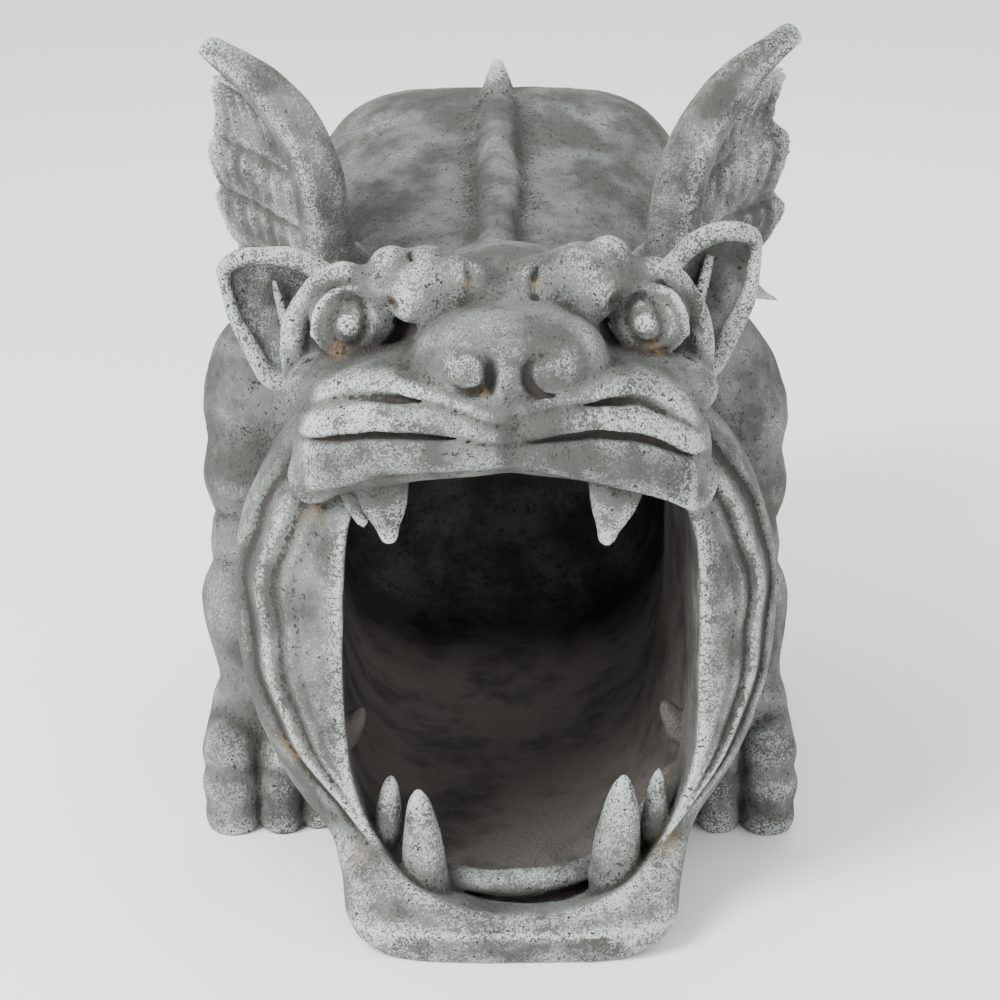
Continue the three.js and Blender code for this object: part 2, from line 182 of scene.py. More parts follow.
class Clay:
    """A block of signed distances on a regular grid, in millimetres."""

    def __init__(self, low: Triple, high: Triple, step: float) -> None:
        """Starts with an empty block.

        Args:
            low: The lowest corner, or value.
            high: The highest corner, or value.
            step: The size of a cell in millimetres.
        """
        self.low = np.array(low, float)
        self.step = step
        self.axes = [np.arange(a, b, step, dtype=np.float32) for a, b in zip(low, high)]
        self.field = np.full([len(axis) for axis in self.axes], FAR, np.float32)

    def window(self, low: Sequence[float], high: Sequence[float]) -> tuple:
        """The part of the grid inside a box.

        Args:
            low: The lowest corner.
            high: The highest corner.

        Returns:
            The slices, and the x, y and z of their cells, ready to be spread over each other.
        """
        picks = tuple(
            slice(
                int(np.searchsorted(axis, a)),
                max(int(np.searchsorted(axis, b)), int(np.searchsorted(axis, a)) + 1),
            )
            for axis, a, b in zip(self.axes, low, high)
        )
        x, y, z = (axis[pick] for axis, pick in zip(self.axes, picks))
        return picks, x[:, None, None], y[None, :, None], z[None, None, :]

    def work(self, picks: tuple, distance: np.ndarray, blend: float, act: Act = Act.ADD) -> None:
        """Adds or cuts a form whose distances are known in a window.

        Args:
            picks: The slices of the window.
            distance: The distances of the form in the window.
            blend: How far its fillet reaches.
            act: Whether it is added or cut.
        """
        old = self.field[picks]
        if act is Act.ADD:
            self.field[picks] = soft_min(old, distance, blend)
        else:
            self.field[picks] = soft_max(old, -distance, blend)

    def ball(
        self, centre: Triple, radii: Triple, blend: float, act: Act = Act.ADD, turn: Triple = (0, 0, 0)
    ) -> None:
        """Adds or cuts an ellipsoid.

        Args:
            centre: Its centre.
            radii: Its three radii.
            blend: How far its fillet reaches.
            act: Whether it is added or cut.
            turn: Its turn about X, Y and Z in degrees.
        """
        reach = max(radii) + FAR
        picks, x, y, z = self.window([c - reach for c in centre], [c + reach for c in centre])
        local = turned([x - centre[0], y - centre[1], z - centre[2]], turn)
        near = np.sqrt(sum((p / r) ** 2 for p, r in zip(local, radii)))
        slope = np.sqrt(sum((p / (r * r)) ** 2 for p, r in zip(local, radii))) + 1e-6
        self.work(picks, near * (near - 1) / slope, blend, act)

    def block(
        self, centre: Triple, radii: Triple, power: float, blend: float, act: Act = Act.ADD, turn: Triple = (
            0, 0, 0,
        )
    ) -> None:
        """Adds or cuts a rounded block, squarer than a ball.

        Args:
            centre: Its centre.
            radii: Its three half sizes.
            power: How square it is, from 2 for a ball upwards.
            blend: How far its fillet reaches.
            act: Whether it is added or cut.
            turn: Its turn about X, Y and Z in degrees.
        """
        reach = max(radii) * 1.3 + FAR
        picks, x, y, z = self.window([c - reach for c in centre], [c + reach for c in centre])
        local = turned([x - centre[0], y - centre[1], z - centre[2]], turn)
        share = sum((np.abs(p) / r) ** power for p, r in zip(local, radii)) ** (1 / power)
        share = np.maximum(share, MIN_SHARE)
        far = np.sqrt(sum(p * p for p in local))
        self.work(picks, (far * (1 - 1 / share)).astype(np.float32), blend, act)

    def limb(
        self, path: Path, radii: Sequence[
            float
        ], blend: float, act: Act = Act.ADD, flat: float = 1.0, steps: int = 6
    ) -> None:
        """Adds or cuts a round limb along a smooth path.

        Args:
            path: The points that its middle passes through.
            radii: Its radii, spread evenly from the first point to the last.
            blend: How far its fillet reaches.
            act: Whether it is added or cut.
            flat: How thick it is along y as a share of its width.
            steps: How many pieces each span is cut into.
        """
        curve = smooth_rows(path, steps)
        along = np.linspace(0, len(radii) - 1, len(curve))
        radius = np.interp(along, np.arange(len(radii)), radii)
        reach = float(max(radii)) + FAR
        picks, *_ = self.window(curve.min(0) - reach, curve.max(0) + reach)
        local = np.full(self.field[picks].shape, 2 * FAR, np.float32)
        for p, q, r, s in zip(curve[:-1], curve[1:], radius[:-1], radius[1:]):
            near = max(r, s) + FAR
            part, x, y, z = self.window(np.minimum(p, q) - near, np.maximum(p, q) + near)
            inner = tuple(slice(c.start - a.start, c.stop - a.start) for a, c in zip(picks, part))
            line = (q - p) * (1, 1 / flat, 1)
            size = float(line @ line) + 1e-9
            dx, dy, dz = x - np.float32(p[0]), (y - np.float32(p[1])) / flat, z - np.float32(p[2])
            t = np.clip((dx * line[0] + dy * line[1] + dz * line[2]) / size, 0, 1).astype(np.float32)
            off = np.sqrt((dx - t * line[0]) ** 2 + (dy - t * line[1]) ** 2 + (dz - t * line[2]) ** 2)
            local[inner] = np.minimum(local[inner], (off - (r + (s - r) * t)) * min(1.0, flat + 0.2))
        self.work(picks, local, blend, act)

    def groove(self, path: Path, width: float, blend: float = 3.0, ends: float = 0.35) -> None:
        """Cuts a groove that fades out at both ends."""
        self.limb(path, [width * ends, width, width, width, width * ends], blend, Act.CUT)

    def mesh(self, points: np.ndarray, faces: np.ndarray, blend: float, act: Act = Act.ADD) -> None:
        """Adds or cuts a closed mesh.

        Args:
            points: Its vertices.
            faces: Its quads or triangles.
            blend: How far its fillet reaches, at most three cells.
            act: Whether it is added or cut.
        """
        index = ((points - self.low) / self.step).astype(np.float32)
        kind = "triangles" if faces.shape[1] == 3 else "quads"
        sides = {kind: faces.astype(np.uint32)}
        level = openvdb.FloatGrid.createLevelSetFromPolygons(
            index, transform=openvdb.createLinearTransform(1.0), halfWidth=4.0, **sides
        )
        start = np.maximum(np.floor(index.min(0)).astype(int) - 5, 0)
        stop = np.minimum(np.ceil(index.max(0)).astype(int) + 6, self.field.shape)
        local = np.zeros(stop - start, np.float32)
        level.copyToArray(local, ijk=tuple(int(i) for i in start))
        picks = tuple(slice(a, b) for a, b in zip(start, stop))
        self.work(picks, local * self.step, blend, act)

    def slab(self, front: np.ndarray, back: np.ndarray, blend: float) -> None:
        """Adds the solid between two grids of points that share their rows and columns.

        Args:
            front: The grid of points in front.
            back: The grid of points behind.
            blend: How far its fillet reaches.
        """
        rows, columns = front.shape[:2]
        points = np.concatenate([front.reshape(-1, 3), back.reshape(-1, 3)])
        at = np.arange(rows * columns).reshape(rows, columns)
        rear = at + rows * columns
        faces = [np.stack([at[:-1, :-1], at[1:, :-1], at[1:, 1:], at[:-1, 1:]], -1).reshape(-1, 4)]
        faces.append(
            np.stack([rear[:-1, :-1], rear[:-1, 1:], rear[1:, 1:], rear[1:, :-1]], -1).reshape(-1, 4)
        )
        for a, b in (
            (at[0], rear[0]), (at[-1][::-1], rear[-1][::-1]), (at[:, 0][::-1], rear[:, 0][::-1]),
            (at[:, -1], rear[:, -1]),
        ):
            faces.append(np.stack([a[:-1], a[1:], b[1:], b[:-1]], -1))
        self.mesh(points, np.concatenate(faces), blend)

    def noise(self, cell: float, seed: int) -> np.ndarray:
        """Smooth random values from about -1 to 1 over the whole block.

        Args:
            cell: The size of its lumps, in millimetres.
            seed: Which pattern it is.

        Returns:
            A value for each cell of the grid.
        """
        spans = [len(axis) * self.step / cell for axis in self.axes]
        values = np.random.default_rng(seed).uniform(-1, 1, [int(s) + 4 for s in spans]).astype(np.float32)
        for axis in range(3):
            at = np.arange(len(self.axes[axis])) * self.step / cell
            cellwise = at.astype(int)
            t = at - cellwise
            weights = np.zeros((len(at), values.shape[axis]), np.float32)
            rows = np.arange(len(at))
            for k, w in enumerate(
                ((1 - t) ** 3, 3 * t**3 - 6 * t**2 + 4, -3 * t**3 + 3 * t**2 + 3 * t + 1, t**3)
            ):
                weights[rows, cellwise + k] = w / 6
            values = np.moveaxis(np.tensordot(weights, values, (1, axis)), 0, axis)
        return values * 2.2

    def blurred(self, cells: int) -> np.ndarray:
        """The distances averaged over a cube that reaches so many cells each way.

        Args:
            cells: How many cells the blur reaches.

        Returns:
            The blurred distances.
        """
        made = self.field
        for axis in range(3):
            total = np.cumsum(made, axis=axis, dtype=np.float32)
            size = made.shape[axis]
            high = np.minimum(np.arange(size) + cells, size - 1)
            low = np.arange(size) - cells - 1
            upper = np.take(total, high, axis=axis)
            lower = np.take(total, np.maximum(low, 0), axis=axis)
            shape = [1, 1, 1]
            shape[axis] = size
            lower *= (low >= 0).reshape(shape)
            made = (upper - lower) / (high - np.maximum(low, -1)).reshape(shape).astype(np.float32)
        return made

    def read(self, values: np.ndarray, points: np.ndarray) -> np.ndarray:
        """Reads grid values at points by straight interpolation.

        Args:
            values: The grid of values.
            points: The points, one a row, in millimetres.

        Returns:
            The value at each point.
        """
        at = (points - self.low) / self.step
        at = np.clip(at, 0, np.array(values.shape) - 1.001)
        cell = at.astype(int)
        t = at - cell
        total = np.zeros(len(points))
        for corner in range(8):
            offset = np.array([corner & 1, corner >> 1 & 1, corner >> 2 & 1])
            weight = np.prod(np.where(offset, t, 1 - t), axis=1)
            total += weight * values[tuple((cell + offset).T)]
        return total

    def skin(self) -> tuple[np.ndarray, np.ndarray]:
        """The vertices, in millimetres, and the quads of the clay's surface.

        Returns:
            The points in millimetres, and the quads.
        """
        level = openvdb.FloatGrid(3 * self.step)
        level.copyFromArray(np.clip(self.field, -3 * self.step, 3 * self.step))
        points, quads = level.convertToQuads(0.0)
        return points * self.step + self.low, quads


# ---------------------------------------------------------------- shared shapes


@dataclass(frozen=True)
class Oval:
    """A superellipse that stands across the y axis; above and below its middle may differ in height."""

    x: float
    z: float
    half: float
    below: float
    above: float
    square: float

    def reach(self, x: np.ndarray, z: np.ndarray) -> tuple[np.ndarray, np.ndarray]:
        """How far points lie past the oval along rays from its middle.

        Args:
            x: The places along x.
            z: The places along z.

        Returns:
            The distance past the oval, negative inside, and the place of each point as a share of the oval's.
        """
        dx, dz = np.abs(x - self.x), z - self.z
        tall = np.where(dz > 0, self.above, self.below).astype(np.float32)
        share = ((dx / self.half) ** self.square + (np.abs(dz) / tall) ** self.square) ** (1 / self.square)
        share = np.maximum(share, 1e-4)
        return np.sqrt(dx * dx + dz * dz) * (1 - 1 / share), share


def tube(
    x: np.ndarray, z: np.ndarray, middle: float, half: np.ndarray, bottom: np.ndarray, top: np.ndarray,
    square: np.ndarray, square_below: np.ndarray,
) -> np.ndarray:
    """Distances to a tunnel or a trunk whose section changes along y.

    Args:
        x: Where it is read across.
        z: Where it is read in height.
        middle: The middle of the section in x.
        half: Half its width.
        bottom: Its lowest height.
        top: Its highest height.
        square: How square its upper half is.
        square_below: How square its lower half is.

    Returns:
        The distances from the surface of the tube.
    """
    centre, tall = (bottom + top) / 2, (top - bottom) / 2
    dx, dz = np.abs(x - middle), z - centre
    power = np.where(dz > 0, square, square_below)
    share = np.maximum(((dx / half) ** power + (np.abs(dz) / tall) ** power) ** (1 / power), 1e-3)
    return np.sqrt(dx * dx + dz * dz) * (1 - 1 / share)


# ---------------------------------------------------------------- trunk


@dataclass
class Trunk:
    """The hollow body behind the head, open at the rear, with the water's way through it."""

    outside: list = field(
        default_factory=lambda: [
            [-98, 66, 188, 2.6],
            [-60, 72, 204, 2.8],
            [-20, 71, 200, 3.0],
            [20, 73, 202, 3.3],
            [60, 76, 211, 3.6],
            [100, 79, 222.5, 3.9],
            [130, 80, 232, 4],
            [150, 79, 231.5, 4],
        ]
    )
    inside: list = field(
        default_factory=lambda: [
            [-175, 7, 59, 17, 165, 5, 2.7],
            [-138, 7, 59, 15, 165, 5, 2.7],
            [-124, 7, 59, 12.5, 166, 5, 2.7],
            [-100, 6, 59, 11, 172, 4, 3],
            [-60, 3, 61, 11, 184, 3, 3],
            [-20, 0, 60, 11, 188, 3, 3],
            [20, 0, 62, 11, 191, 3.3, 3.3],
            [60, 0, 65, 11, 200, 4, 3.6],
            [100, 0, 68, 11, 211, 5.6, 3.9],
            [130, 0, 69, 11, 220.5, 5.6, 4],
            [138, 0, 65, 17, 219, 5.6, 4],
        ]
    )
    inlet: Oval = Oval(0, 154.5, 68, 66.5, 66.5, 4)
    inlet_from: float = 118

    def shape(self, clay: Clay) -> None:
        """Adds the body of the trunk.

        Args:
            clay: The clay that is worked.
        """
        picks, x, y, z = clay.window((-92, -104, -8), (92, 156, 244))
        half, top, square = Table(self.outside)(y)
        bottom = np.float32(-4)
        body = tube(x, z, 0, half, bottom, top, square, square)
        clay.work(picks, np.maximum(body, -98 - y), 4)

    def inside_shade(self, x: np.ndarray, y: np.ndarray, z: np.ndarray) -> np.ndarray:
        """How far inside the water's way each place is, from 0 outside to 1; the inside is painted darker as
        shade.

        Args:
            x: Where it is read across.
            y: Where it is read along.
            z: Where it is read in height.

        Returns:
            The share of painted shade at each place.
        """
        middle, half, bottom, top, square, below = Table(self.inside)(y)
        way = tube(x, z, middle, half, bottom, top, square, below)
        return (1 - ramp(way, 4, 12)) * ramp(y, -118, -84) * (1 - ramp(y, 128, 146))

    def hollow(self, clay: Clay) -> None:
        """Cuts the water's way from the inlet to the mouth.

        Args:
            clay: The clay that is worked.
        """
        picks, x, y, z = clay.window((-80, -160, 4), (80, 158, 232))
        middle, half, bottom, top, square, below = Table(self.inside)(y)
        way = tube(x, z, middle, half, bottom, top, square, below)
        way = np.maximum(way, y - 138)
        mouth, _ = self.inlet.reach(x, z)
        way = soft_min(way, np.maximum(mouth, self.inlet_from - y), 3)
        clay.work(picks, way, 2.5, Act.CUT)


# ---------------------------------------------------------------- jaws


CHANNEL = [
    (-40, -108, 20), (-26, -115, 12), (-10, -121, 9.5), (5, -124, 9), (20, -121, 9.5), (32, -115, 12),
    (46, -107, 22),
]


@dataclass
class Jaws:
    """The ring of flesh round the mouth, with two skin folds down each cheek, and the chin below it."""

    lip: Oval = Oval(7, 94, 59, 78, 78, 2.7)
    cheek: Oval = Oval(2, 110, 92, 106, 88, 2.2)
    lip_front: float = -123
    lip_front_chin: float = -141
    cheek_front: float = -86
    cheek_front_chin: float = -147
    round: float = 1.8
    behind: list = field(default_factory=lambda: [[0, 1.0], [13, 0.98], [36, 0.87], [62, 0.6]])
    chin_levels: list = field(
        default_factory=lambda: [
            [-3, 44, -144],
            [0, 48, -146.5],
            [5, 54, -148.5],
            [11, 57, -148],
            [19, 58, -138],
            [34, 63, -116],
        ]
    )

    def shape(self, clay: Clay) -> None:
        """Adds the ring and the chin.

        Args:
            clay: The clay that is worked.
        """
        picks, x, y, z = clay.window((-106, -156, -6), (108, -16, 214))
        past_lip, _ = self.lip.reach(x, z)
        past_cheek, _ = self.cheek.reach(x, z)
        wide = np.maximum(past_lip - past_cheek, 6)
        s = past_lip / wide
        down = np.clip((102 - z) / 92, 0, 1) ** 1.2
        chin = down**3
        front = self.lip_front + (self.lip_front_chin - self.lip_front) * chin
        edge = self.cheek_front + (self.cheek_front_chin - self.cheek_front) * chin
        depth = np.maximum(self.cheek_front - self.lip_front, 1)
        out = np.maximum(past_lip, 0)
        ahead = np.maximum(self.cheek_front - y, 0)
        share = ((out / wide) ** self.round + (ahead / depth) ** self.round) ** (1 / self.round)
        share = np.maximum(share, MIN_SHARE)
        rounded = np.sqrt(out * out + ahead * ahead) * (1 - 1 / share)
        taper = np.interp(y - self.cheek_front, *zip(*self.behind)).astype(np.float32)
        rounded = np.where(y > self.cheek_front, past_lip - wide * taper, rounded)
        flat_front = front + (edge - front) * np.minimum(1, np.maximum(s, 0) / 0.4)
        blunt = soft_max(flat_front - y, past_cheek, 9)
        ring = rounded + (blunt - rounded) * chin
        ring = np.maximum(ring, y - (self.cheek_front + 62))
        ring = np.maximum(ring, -past_lip - 14)
        side = 1 - np.clip(np.abs(z - 100) / 100, 0, 1) ** 5
        high = 0.86 - 0.44 * np.minimum(1, down * 1.4)
        wander = 0.025 * np.sin(z / 9.0) + 0.02 * np.sin(z / 5.0 + y / 30)
        for offset, deep, width in (
            (0, 2.3, 0.06), (-0.27, 1.7, 0.06), (-0.13, -0.9, 0.06), (-0.42, 0.9, 0.05),
        ):
            line = (s - (high + offset + wander)) / width
            ring = ring + deep * side * np.exp(-line * line)
        clay.work(picks, ring.astype(np.float32), 4)
        self.chin(clay)

    def chin(self, clay: Clay) -> None:
        """Adds the flat-bottomed block that the lower jaw rests on.

        Args:
            clay: The clay that is worked.
        """
        picks, x, y, z = clay.window((-72, -156, -6), (80, -60, 42))
        half, front = (
            np.interp(z, [r[0] for r in self.chin_levels], [r[i] for r in self.chin_levels]) for i in (1, 2)
        )
        rear = -62
        depth, centre = (rear - front) / 2, (rear + front) / 2
        share = ((np.abs(x - 4) / half) ** 5 + (np.abs(y - centre) / depth) ** 5) ** 0.2
        share = np.maximum(share, MIN_SHARE)
        block = np.sqrt((x - 4) ** 2 + (y - centre) ** 2) * (1 - 1 / share)
        block = np.maximum(block, z - 34)
        clay.work(picks, block.astype(np.float32), 3)

    def teeth(self, clay: Clay) -> None:
        """Adds the gum inside the lower lip and all the teeth.

        Args:
            clay: The clay that is worked.
        """
        gum = [
            (-53, -92, 37), (-38, -105, 18), (-14, -113, 13.5), (6, -115, 13), (26, -111, 14),
            (44, -103, 22), (60, -90, 42),
        ]
        clay.limb(gum, [4, 5, 5.5, 5.5, 5.5, 5.5, 5], 3)
        clay.limb(CHANNEL, [2.5, 3.2, 3.6, 3.6, 3.6, 3.2, 2.5], 2, Act.CUT)
        for root, tip, radius in (
            ((-25, -122, 12), (-27.5, -120, 51), 8.2),
            ((38, -119, 15), (42, -117, 55.5), 8.5),
            ((-39, -109, 28), (-37, -109, 51), 5),
            ((53, -108, 30), (54, -107, 54), 5.2),
            ((-54, -84, 54), (-47, -86, 67), 4.8),
            ((63, -84, 56), (56, -86, 69), 5),
            ((-49, -123, 164), (-44, -124, 147), 5),
        ):
            self.tooth(clay, root, tip, radius)
        for inner, outer, tip in ((-35, -42.5, (-36, -131, 147)), (34, 42, (34.5, -131, 146.5))):
            for x in (inner, outer):
                clay.limb([(x, -128, 168), (x * 0.6 + tip[0] * 0.4, -129.5, 157), tip], [6, 5, 2.6], 2)

    def tooth(self, clay: Clay, root: Triple, tip: Triple, radius: float) -> None:
        """Adds one blunt tooth from its root to its tip.

        Args:
            clay: The clay that is worked.
            root: The middle of its base.
            tip: Its tip.
            radius: Its greatest radius.
        """
        a, b = np.array(root, float), np.array(tip, float)
        sizes = [(0.0, 0.9), (0.12, 1.0), (0.45, 0.86), (0.7, 0.66), (0.86, 0.45), (0.96, 0.2)]
        path = [tuple(a + (b - a) * t) for t, _ in sizes]
        clay.limb(path, [radius * r for _, r in sizes], 1.2, steps=3)


# ---------------------------------------------------------------- head


@dataclass
class Head:
    """The skull, the folded upper lip, the nose, the brows, the eyes and their rims."""

    lip_rows: list = field(
        default_factory=lambda: [
            [-70, -116, 159, 174, -104],
            [-64, -125, 154, 186, -98],
            [-57, -133, 156, 197, -90],
            [-43, -141, 162, 203, -90],
            [-26, -146, 166, 207, -90],
            [-10, -148, 168, 210, -90],
            [3, -147, 169, 213, -90],
            [16, -148, 168, 210, -90],
            [31, -146, 165, 207, -90],
            [46, -141, 160, 203, -90],
            [59, -133, 153, 197, -90],
            [65, -125, 151, 186, -98],
            [71, -116, 157, 174, -104],
        ]
    )
    fold_rows: list = field(
        default_factory=lambda: [
            [-66, 157, 177, 186, 194],
            [-58, 162, 180, 190.5, 199],
            [-50, 165, 182.3, 194.8, 202.5],
            [-41, 169.5, 184.7, 196.4, 204.2],
            [-34, 171.5, 185.5, 196.4, 204.3],
            [-22, 173, 186, 196.6, 202],
            [-12, 174, 185.5, 194.4, 199],
            [-4, 174.5, 183.6, 190.8, 196],
            [4.7, 174.5, 183, 189.5, 196],
            [10, 174, 184.2, 193, 199],
            [18, 172, 186, 195.4, 203],
            [31, 168, 186.8, 196, 204.5],
            [44, 162, 184.1, 195.3, 203.5],
            [54, 154, 179, 189.8, 199],
            [64, 153, 172, 181, 191],
        ]
    )

    def shape(self, clay: Clay) -> None:
        """Adds every form of the head.

        Args:
            clay: The clay that is worked.
        """
        clay.ball((1, -70, 186), (64, 46, 38), 6)
        clay.ball((1, -86, 203), (42, 28, 29), 6)
        clay.ball((3, -97, 213), (30, 19, 20), 6)
        clay.ball((-43, -104, 189), (27, 25, 14), 5)
        clay.ball((44, -104, 189), (27, 25, 14), 5)
        for side in (-1, 1):
            clay.ball((side * 47, -90, 207), (20, 13, 18), 4)
        self.upper_lip(clay)
        self.nose(clay)
        for side, lift in ((-1, 0), (1, 2)):
            self.rim(clay, side, lift)
        self.brows(clay)
        self.eye(clay, (-47.5, -103, 212), (-48.8, 213), -1)
        self.eye(clay, (47.5, -103, 212.5), (46.5, 213.5), 1)

    def upper_lip(self, clay: Clay) -> None:
        """Adds the upper lip, swollen into rolls between its fold lines.

        Args:
            clay: The clay that is worked.
        """
        picks, x, y, z = clay.window((-82, -158, 142), (84, -76, 226))
        front, bottom, top, rear = Table(self.lip_rows)(x)
        centre_y, deep = (front + rear) / 2, (rear - front) / 2
        centre_z, tall = (top + bottom) / 2, (top - bottom) / 2
        dy, dz = y - centre_y, z - centre_z
        power = np.where(dz < 0, 3.4, 2.4)
        share = ((np.abs(dy) / deep) ** power + (np.abs(dz) / tall) ** power) ** (1 / power)
        share = np.maximum(share, MIN_SHARE)
        body = np.sqrt(dy * dy + dz * dz) * (1 - 1 / share)
        edge, low, middle, high = Table(self.fold_rows)(x)
        swell = 0
        for lower, upper, height in ((edge, low, 3.0), (low, middle, 2.8), (middle, high, 2.4)):
            t = np.clip((z - lower) / (upper - lower), 0, 1)
            swell = swell + height * np.maximum(np.sin(np.pi * t), 0) ** 0.55
        fade = (1 - 0.7 * bump(x, 4.5, 5)) * (1 - ramp(np.abs(x - 0.5), 62, 70))
        body = body - swell * fade * ramp(-dy, 0, 20)
        body = soft_max(body, np.abs(x - 0.5) - 68, 7)
        clay.work(picks, body.astype(np.float32), 3)
        clay.ball((-60, -119, 163), (9, 8, 9), 3)
        clay.ball((61, -119, 161), (9.5, 8, 10), 3)
        rows = np.array(self.fold_rows, float)
        front_at = Table(self.lip_rows)
        for column, width, left, right in (
            (2, 1.5, -64, -4), (3, 1.4, -60, -2), (4, 1.1, -54, -16), (2, 1.5, 8, 66), (3, 1.4, 12, 63),
            (4, 0.8, 22, 54),
        ):
            x = np.linspace(left, right, 9)
            z = np.interp(x, rows[:, 0], rows[:, column])
            y = front_at(x)[0] + 0.6 + 0.024 * np.maximum(z - 186, 0) ** 2
            clay.groove(np.stack([x, y, z], -1), width, 1.6)
        clay.groove([(4, -149.5, 192), (4.5, -150, 184), (4.5, -149.5, 178)], 1.6, 5)

    def nose(self, clay: Clay) -> None:
        """Adds the broad nose and curls a groove round each nostril.

        Args:
            clay: The clay that is worked.
        """
        clay.block((3.5, -126, 203.5), (31, 22.5, 18.5), 2.5, 5, turn=(-12, 0, 0))
        clay.ball((3, -108, 207), (30, 22, 18), 5)
        bridge = [
            (-25, -119, 209), (-20, -116, 216.5), (-10, -113, 221), (0, -112, 222), (18, -113, 221),
            (26.5, -117, 215.5), (30, -119, 209),
        ]
        clay.limb(bridge, [2, 3, 3, 3, 3, 3, 2], 2.5)
        clay.ball((-10.5, -142.5, 208), (8, 7.2, 7.5), 3)
        clay.ball((17, -142.5, 207.5), (8, 7.2, 7.5), 3)
        for centre, start, end, width, reach in (
            ((-9.5, -148.5, 207.5), 125, -150, 2.2, 7.0), ((15.5, -148.5, 206.5), 60, 285, 1.8, 7.2),
        ):
            turns = [math.radians(start + (end - start) * i / 7) for i in range(8)]
            path = [
                (
                    centre[0] + reach * math.cos(t), centre[1] + 1.0, centre[2] + reach * math.sin(t),
                ) for t in turns
            ]
            clay.groove(path, width, 1.0, 0.4)
        clay.ball((-3.2, -148, 205), (2.4, 5, 6), 1.5, Act.CUT)

    def brows(self, clay: Clay) -> None:
        """Adds the two brows: each a folded mass with a knob and a point over the eye's inner corner.

        Args:
            clay: The clay that is worked.
        """
        for fold, radii in (
            ([(-37, -105, 225), (-24, -106, 226), (-11, -109, 225)], [8, 10.5, 7.5]),
            ([(-25, -107, 224), (-28, -111, 221.5), (-29, -114, 218.5)], [10, 8.5, 5]),
            ([(37, -105, 227), (25, -106, 227), (11, -109, 225)], [8, 10.5, 7.5]),
            ([(27, -107, 225), (30, -111, 222.5), (31, -114, 219)], [10, 8.5, 5]),
        ):
            clay.limb(fold, radii, 4)
        clay.ball((-35, -106, 230), (7.3, 7, 6.8), 1.6)
        clay.ball((34.5, -106, 232.6), (7.2, 7, 7), 1.6)
        for crease, width in (
            ([(-29, -107, 235), (-28, -113, 231), (-31, -116, 226)], 0.7),
            ([(28.5, -107, 236), (28, -113, 232), (32, -116, 227)], 0.7),
            ([(-11, -112, 232), (-9, -117, 226), (-12, -119, 221)], 1.6),
            ([(12, -112, 231), (10, -117, 226), (12, -119, 221)], 1.4),
            ([(0, -112, 233), (0.5, -116, 228), (0, -117, 224)], 0.9),
        ):
            clay.groove(crease, width, 1.6, 0.5)
        clay.ball((-35.5, -116, 219.5), (3, 4, 3), 2, Act.CUT)
        clay.ball((37.5, -116, 220.5), (3, 4, 3), 2, Act.CUT)

    def rim(self, clay: Clay, side: float, lift: float) -> None:
        """Adds the thick rim round the outer side of one eye.

        Args:
            clay: The clay that is worked.
            side: -1 for the left and 1 for the right.
            lift: How much higher this side stands.
        """
        rows = (
            (38, -105, 221), (44.5, -105, 223.5), (50, -104, 226.5), (57, -102, 223.6), (62.5, -99, 216.5),
            (66.3, -97, 208.5), (67.6, -96, 199), (66.8, -97, 190), (63.5, -99, 182),
        )
        path = [(side * (x - (1.5 if side > 0 else 0)), y, z + lift * 0.5) for x, y, z in rows]
        clay.limb(path, [4.4, 4.6, 4.6, 4.4, 4.2, 4.2, 4.2, 4, 3.4], 1.5)

    def eye(self, clay: Clay, centre: Triple, iris: tuple[float, float], side: float) -> None:
        """Adds one eyeball with its lids, and cuts the ring of the iris round a raised pupil.

        Args:
            clay: The clay that is worked.
            centre: The middle of the eyeball.
            iris: The x and z of the middle of the iris.
            side: -1 for the left and 1 for the right.
        """
        radii = (14.5, 12.5, 12.5)
        socket = [(50, -110, 223), (57, -108, 218.5), (61, -106, 210), (62, -105, 200), (61, -106, 191)]
        clay.groove(mirrored(socket, side), 2.0, 2, 0.5)
        clay.ball(centre, radii, 1.2)

        def surface(dx: float, dz: float, out: float = 0.0) -> Triple:
            """A point on the front of the eyeball."""
            left = 1 - (dx / radii[0]) ** 2 - (dz / radii[2]) ** 2
            return centre[0] + dx, centre[1] - radii[1] * math.sqrt(max(left, 0.02)) - out, centre[2] + dz

        upper = [
            surface(side * dx, dz, 0.3) for dx, dz in (
                (12.5, -4), (11.5, 3), (7, 9), (0, 11), (-7, 9), (-12.5, 2),
            )
        ]
        lower = [
            surface(side * dx, dz, 0.3) for dx, dz in (
                (12.5, -4), (8.5, -9), (2, -11), (-5, -9), (-12.5, -1),
            )
        ]
        clay.limb(upper, [1.6, 2.0, 2.0, 1.8, 1.5], 0.8)
        clay.limb(lower, [1.3, 1.6, 1.6, 1.3], 1)
        off = (iris[0] - centre[0], iris[1] - centre[2])
        ring = []
        for i in range(13):
            t = 2 * math.pi * i / 12
            dx, dz = 6.3 * math.cos(t), 8.2 * math.sin(t)
            ring.append(surface(off[0] + dx - side * 0.12 * dz, off[1] + dz, 0.1))
        clay.limb(ring, [1.7, 1.7], 0.5, Act.CUT)
        place = surface(*off)
        clay.ball((place[0], place[1] + 0.4, place[2]), (3.9, 3.0, 3.9), 0.6)


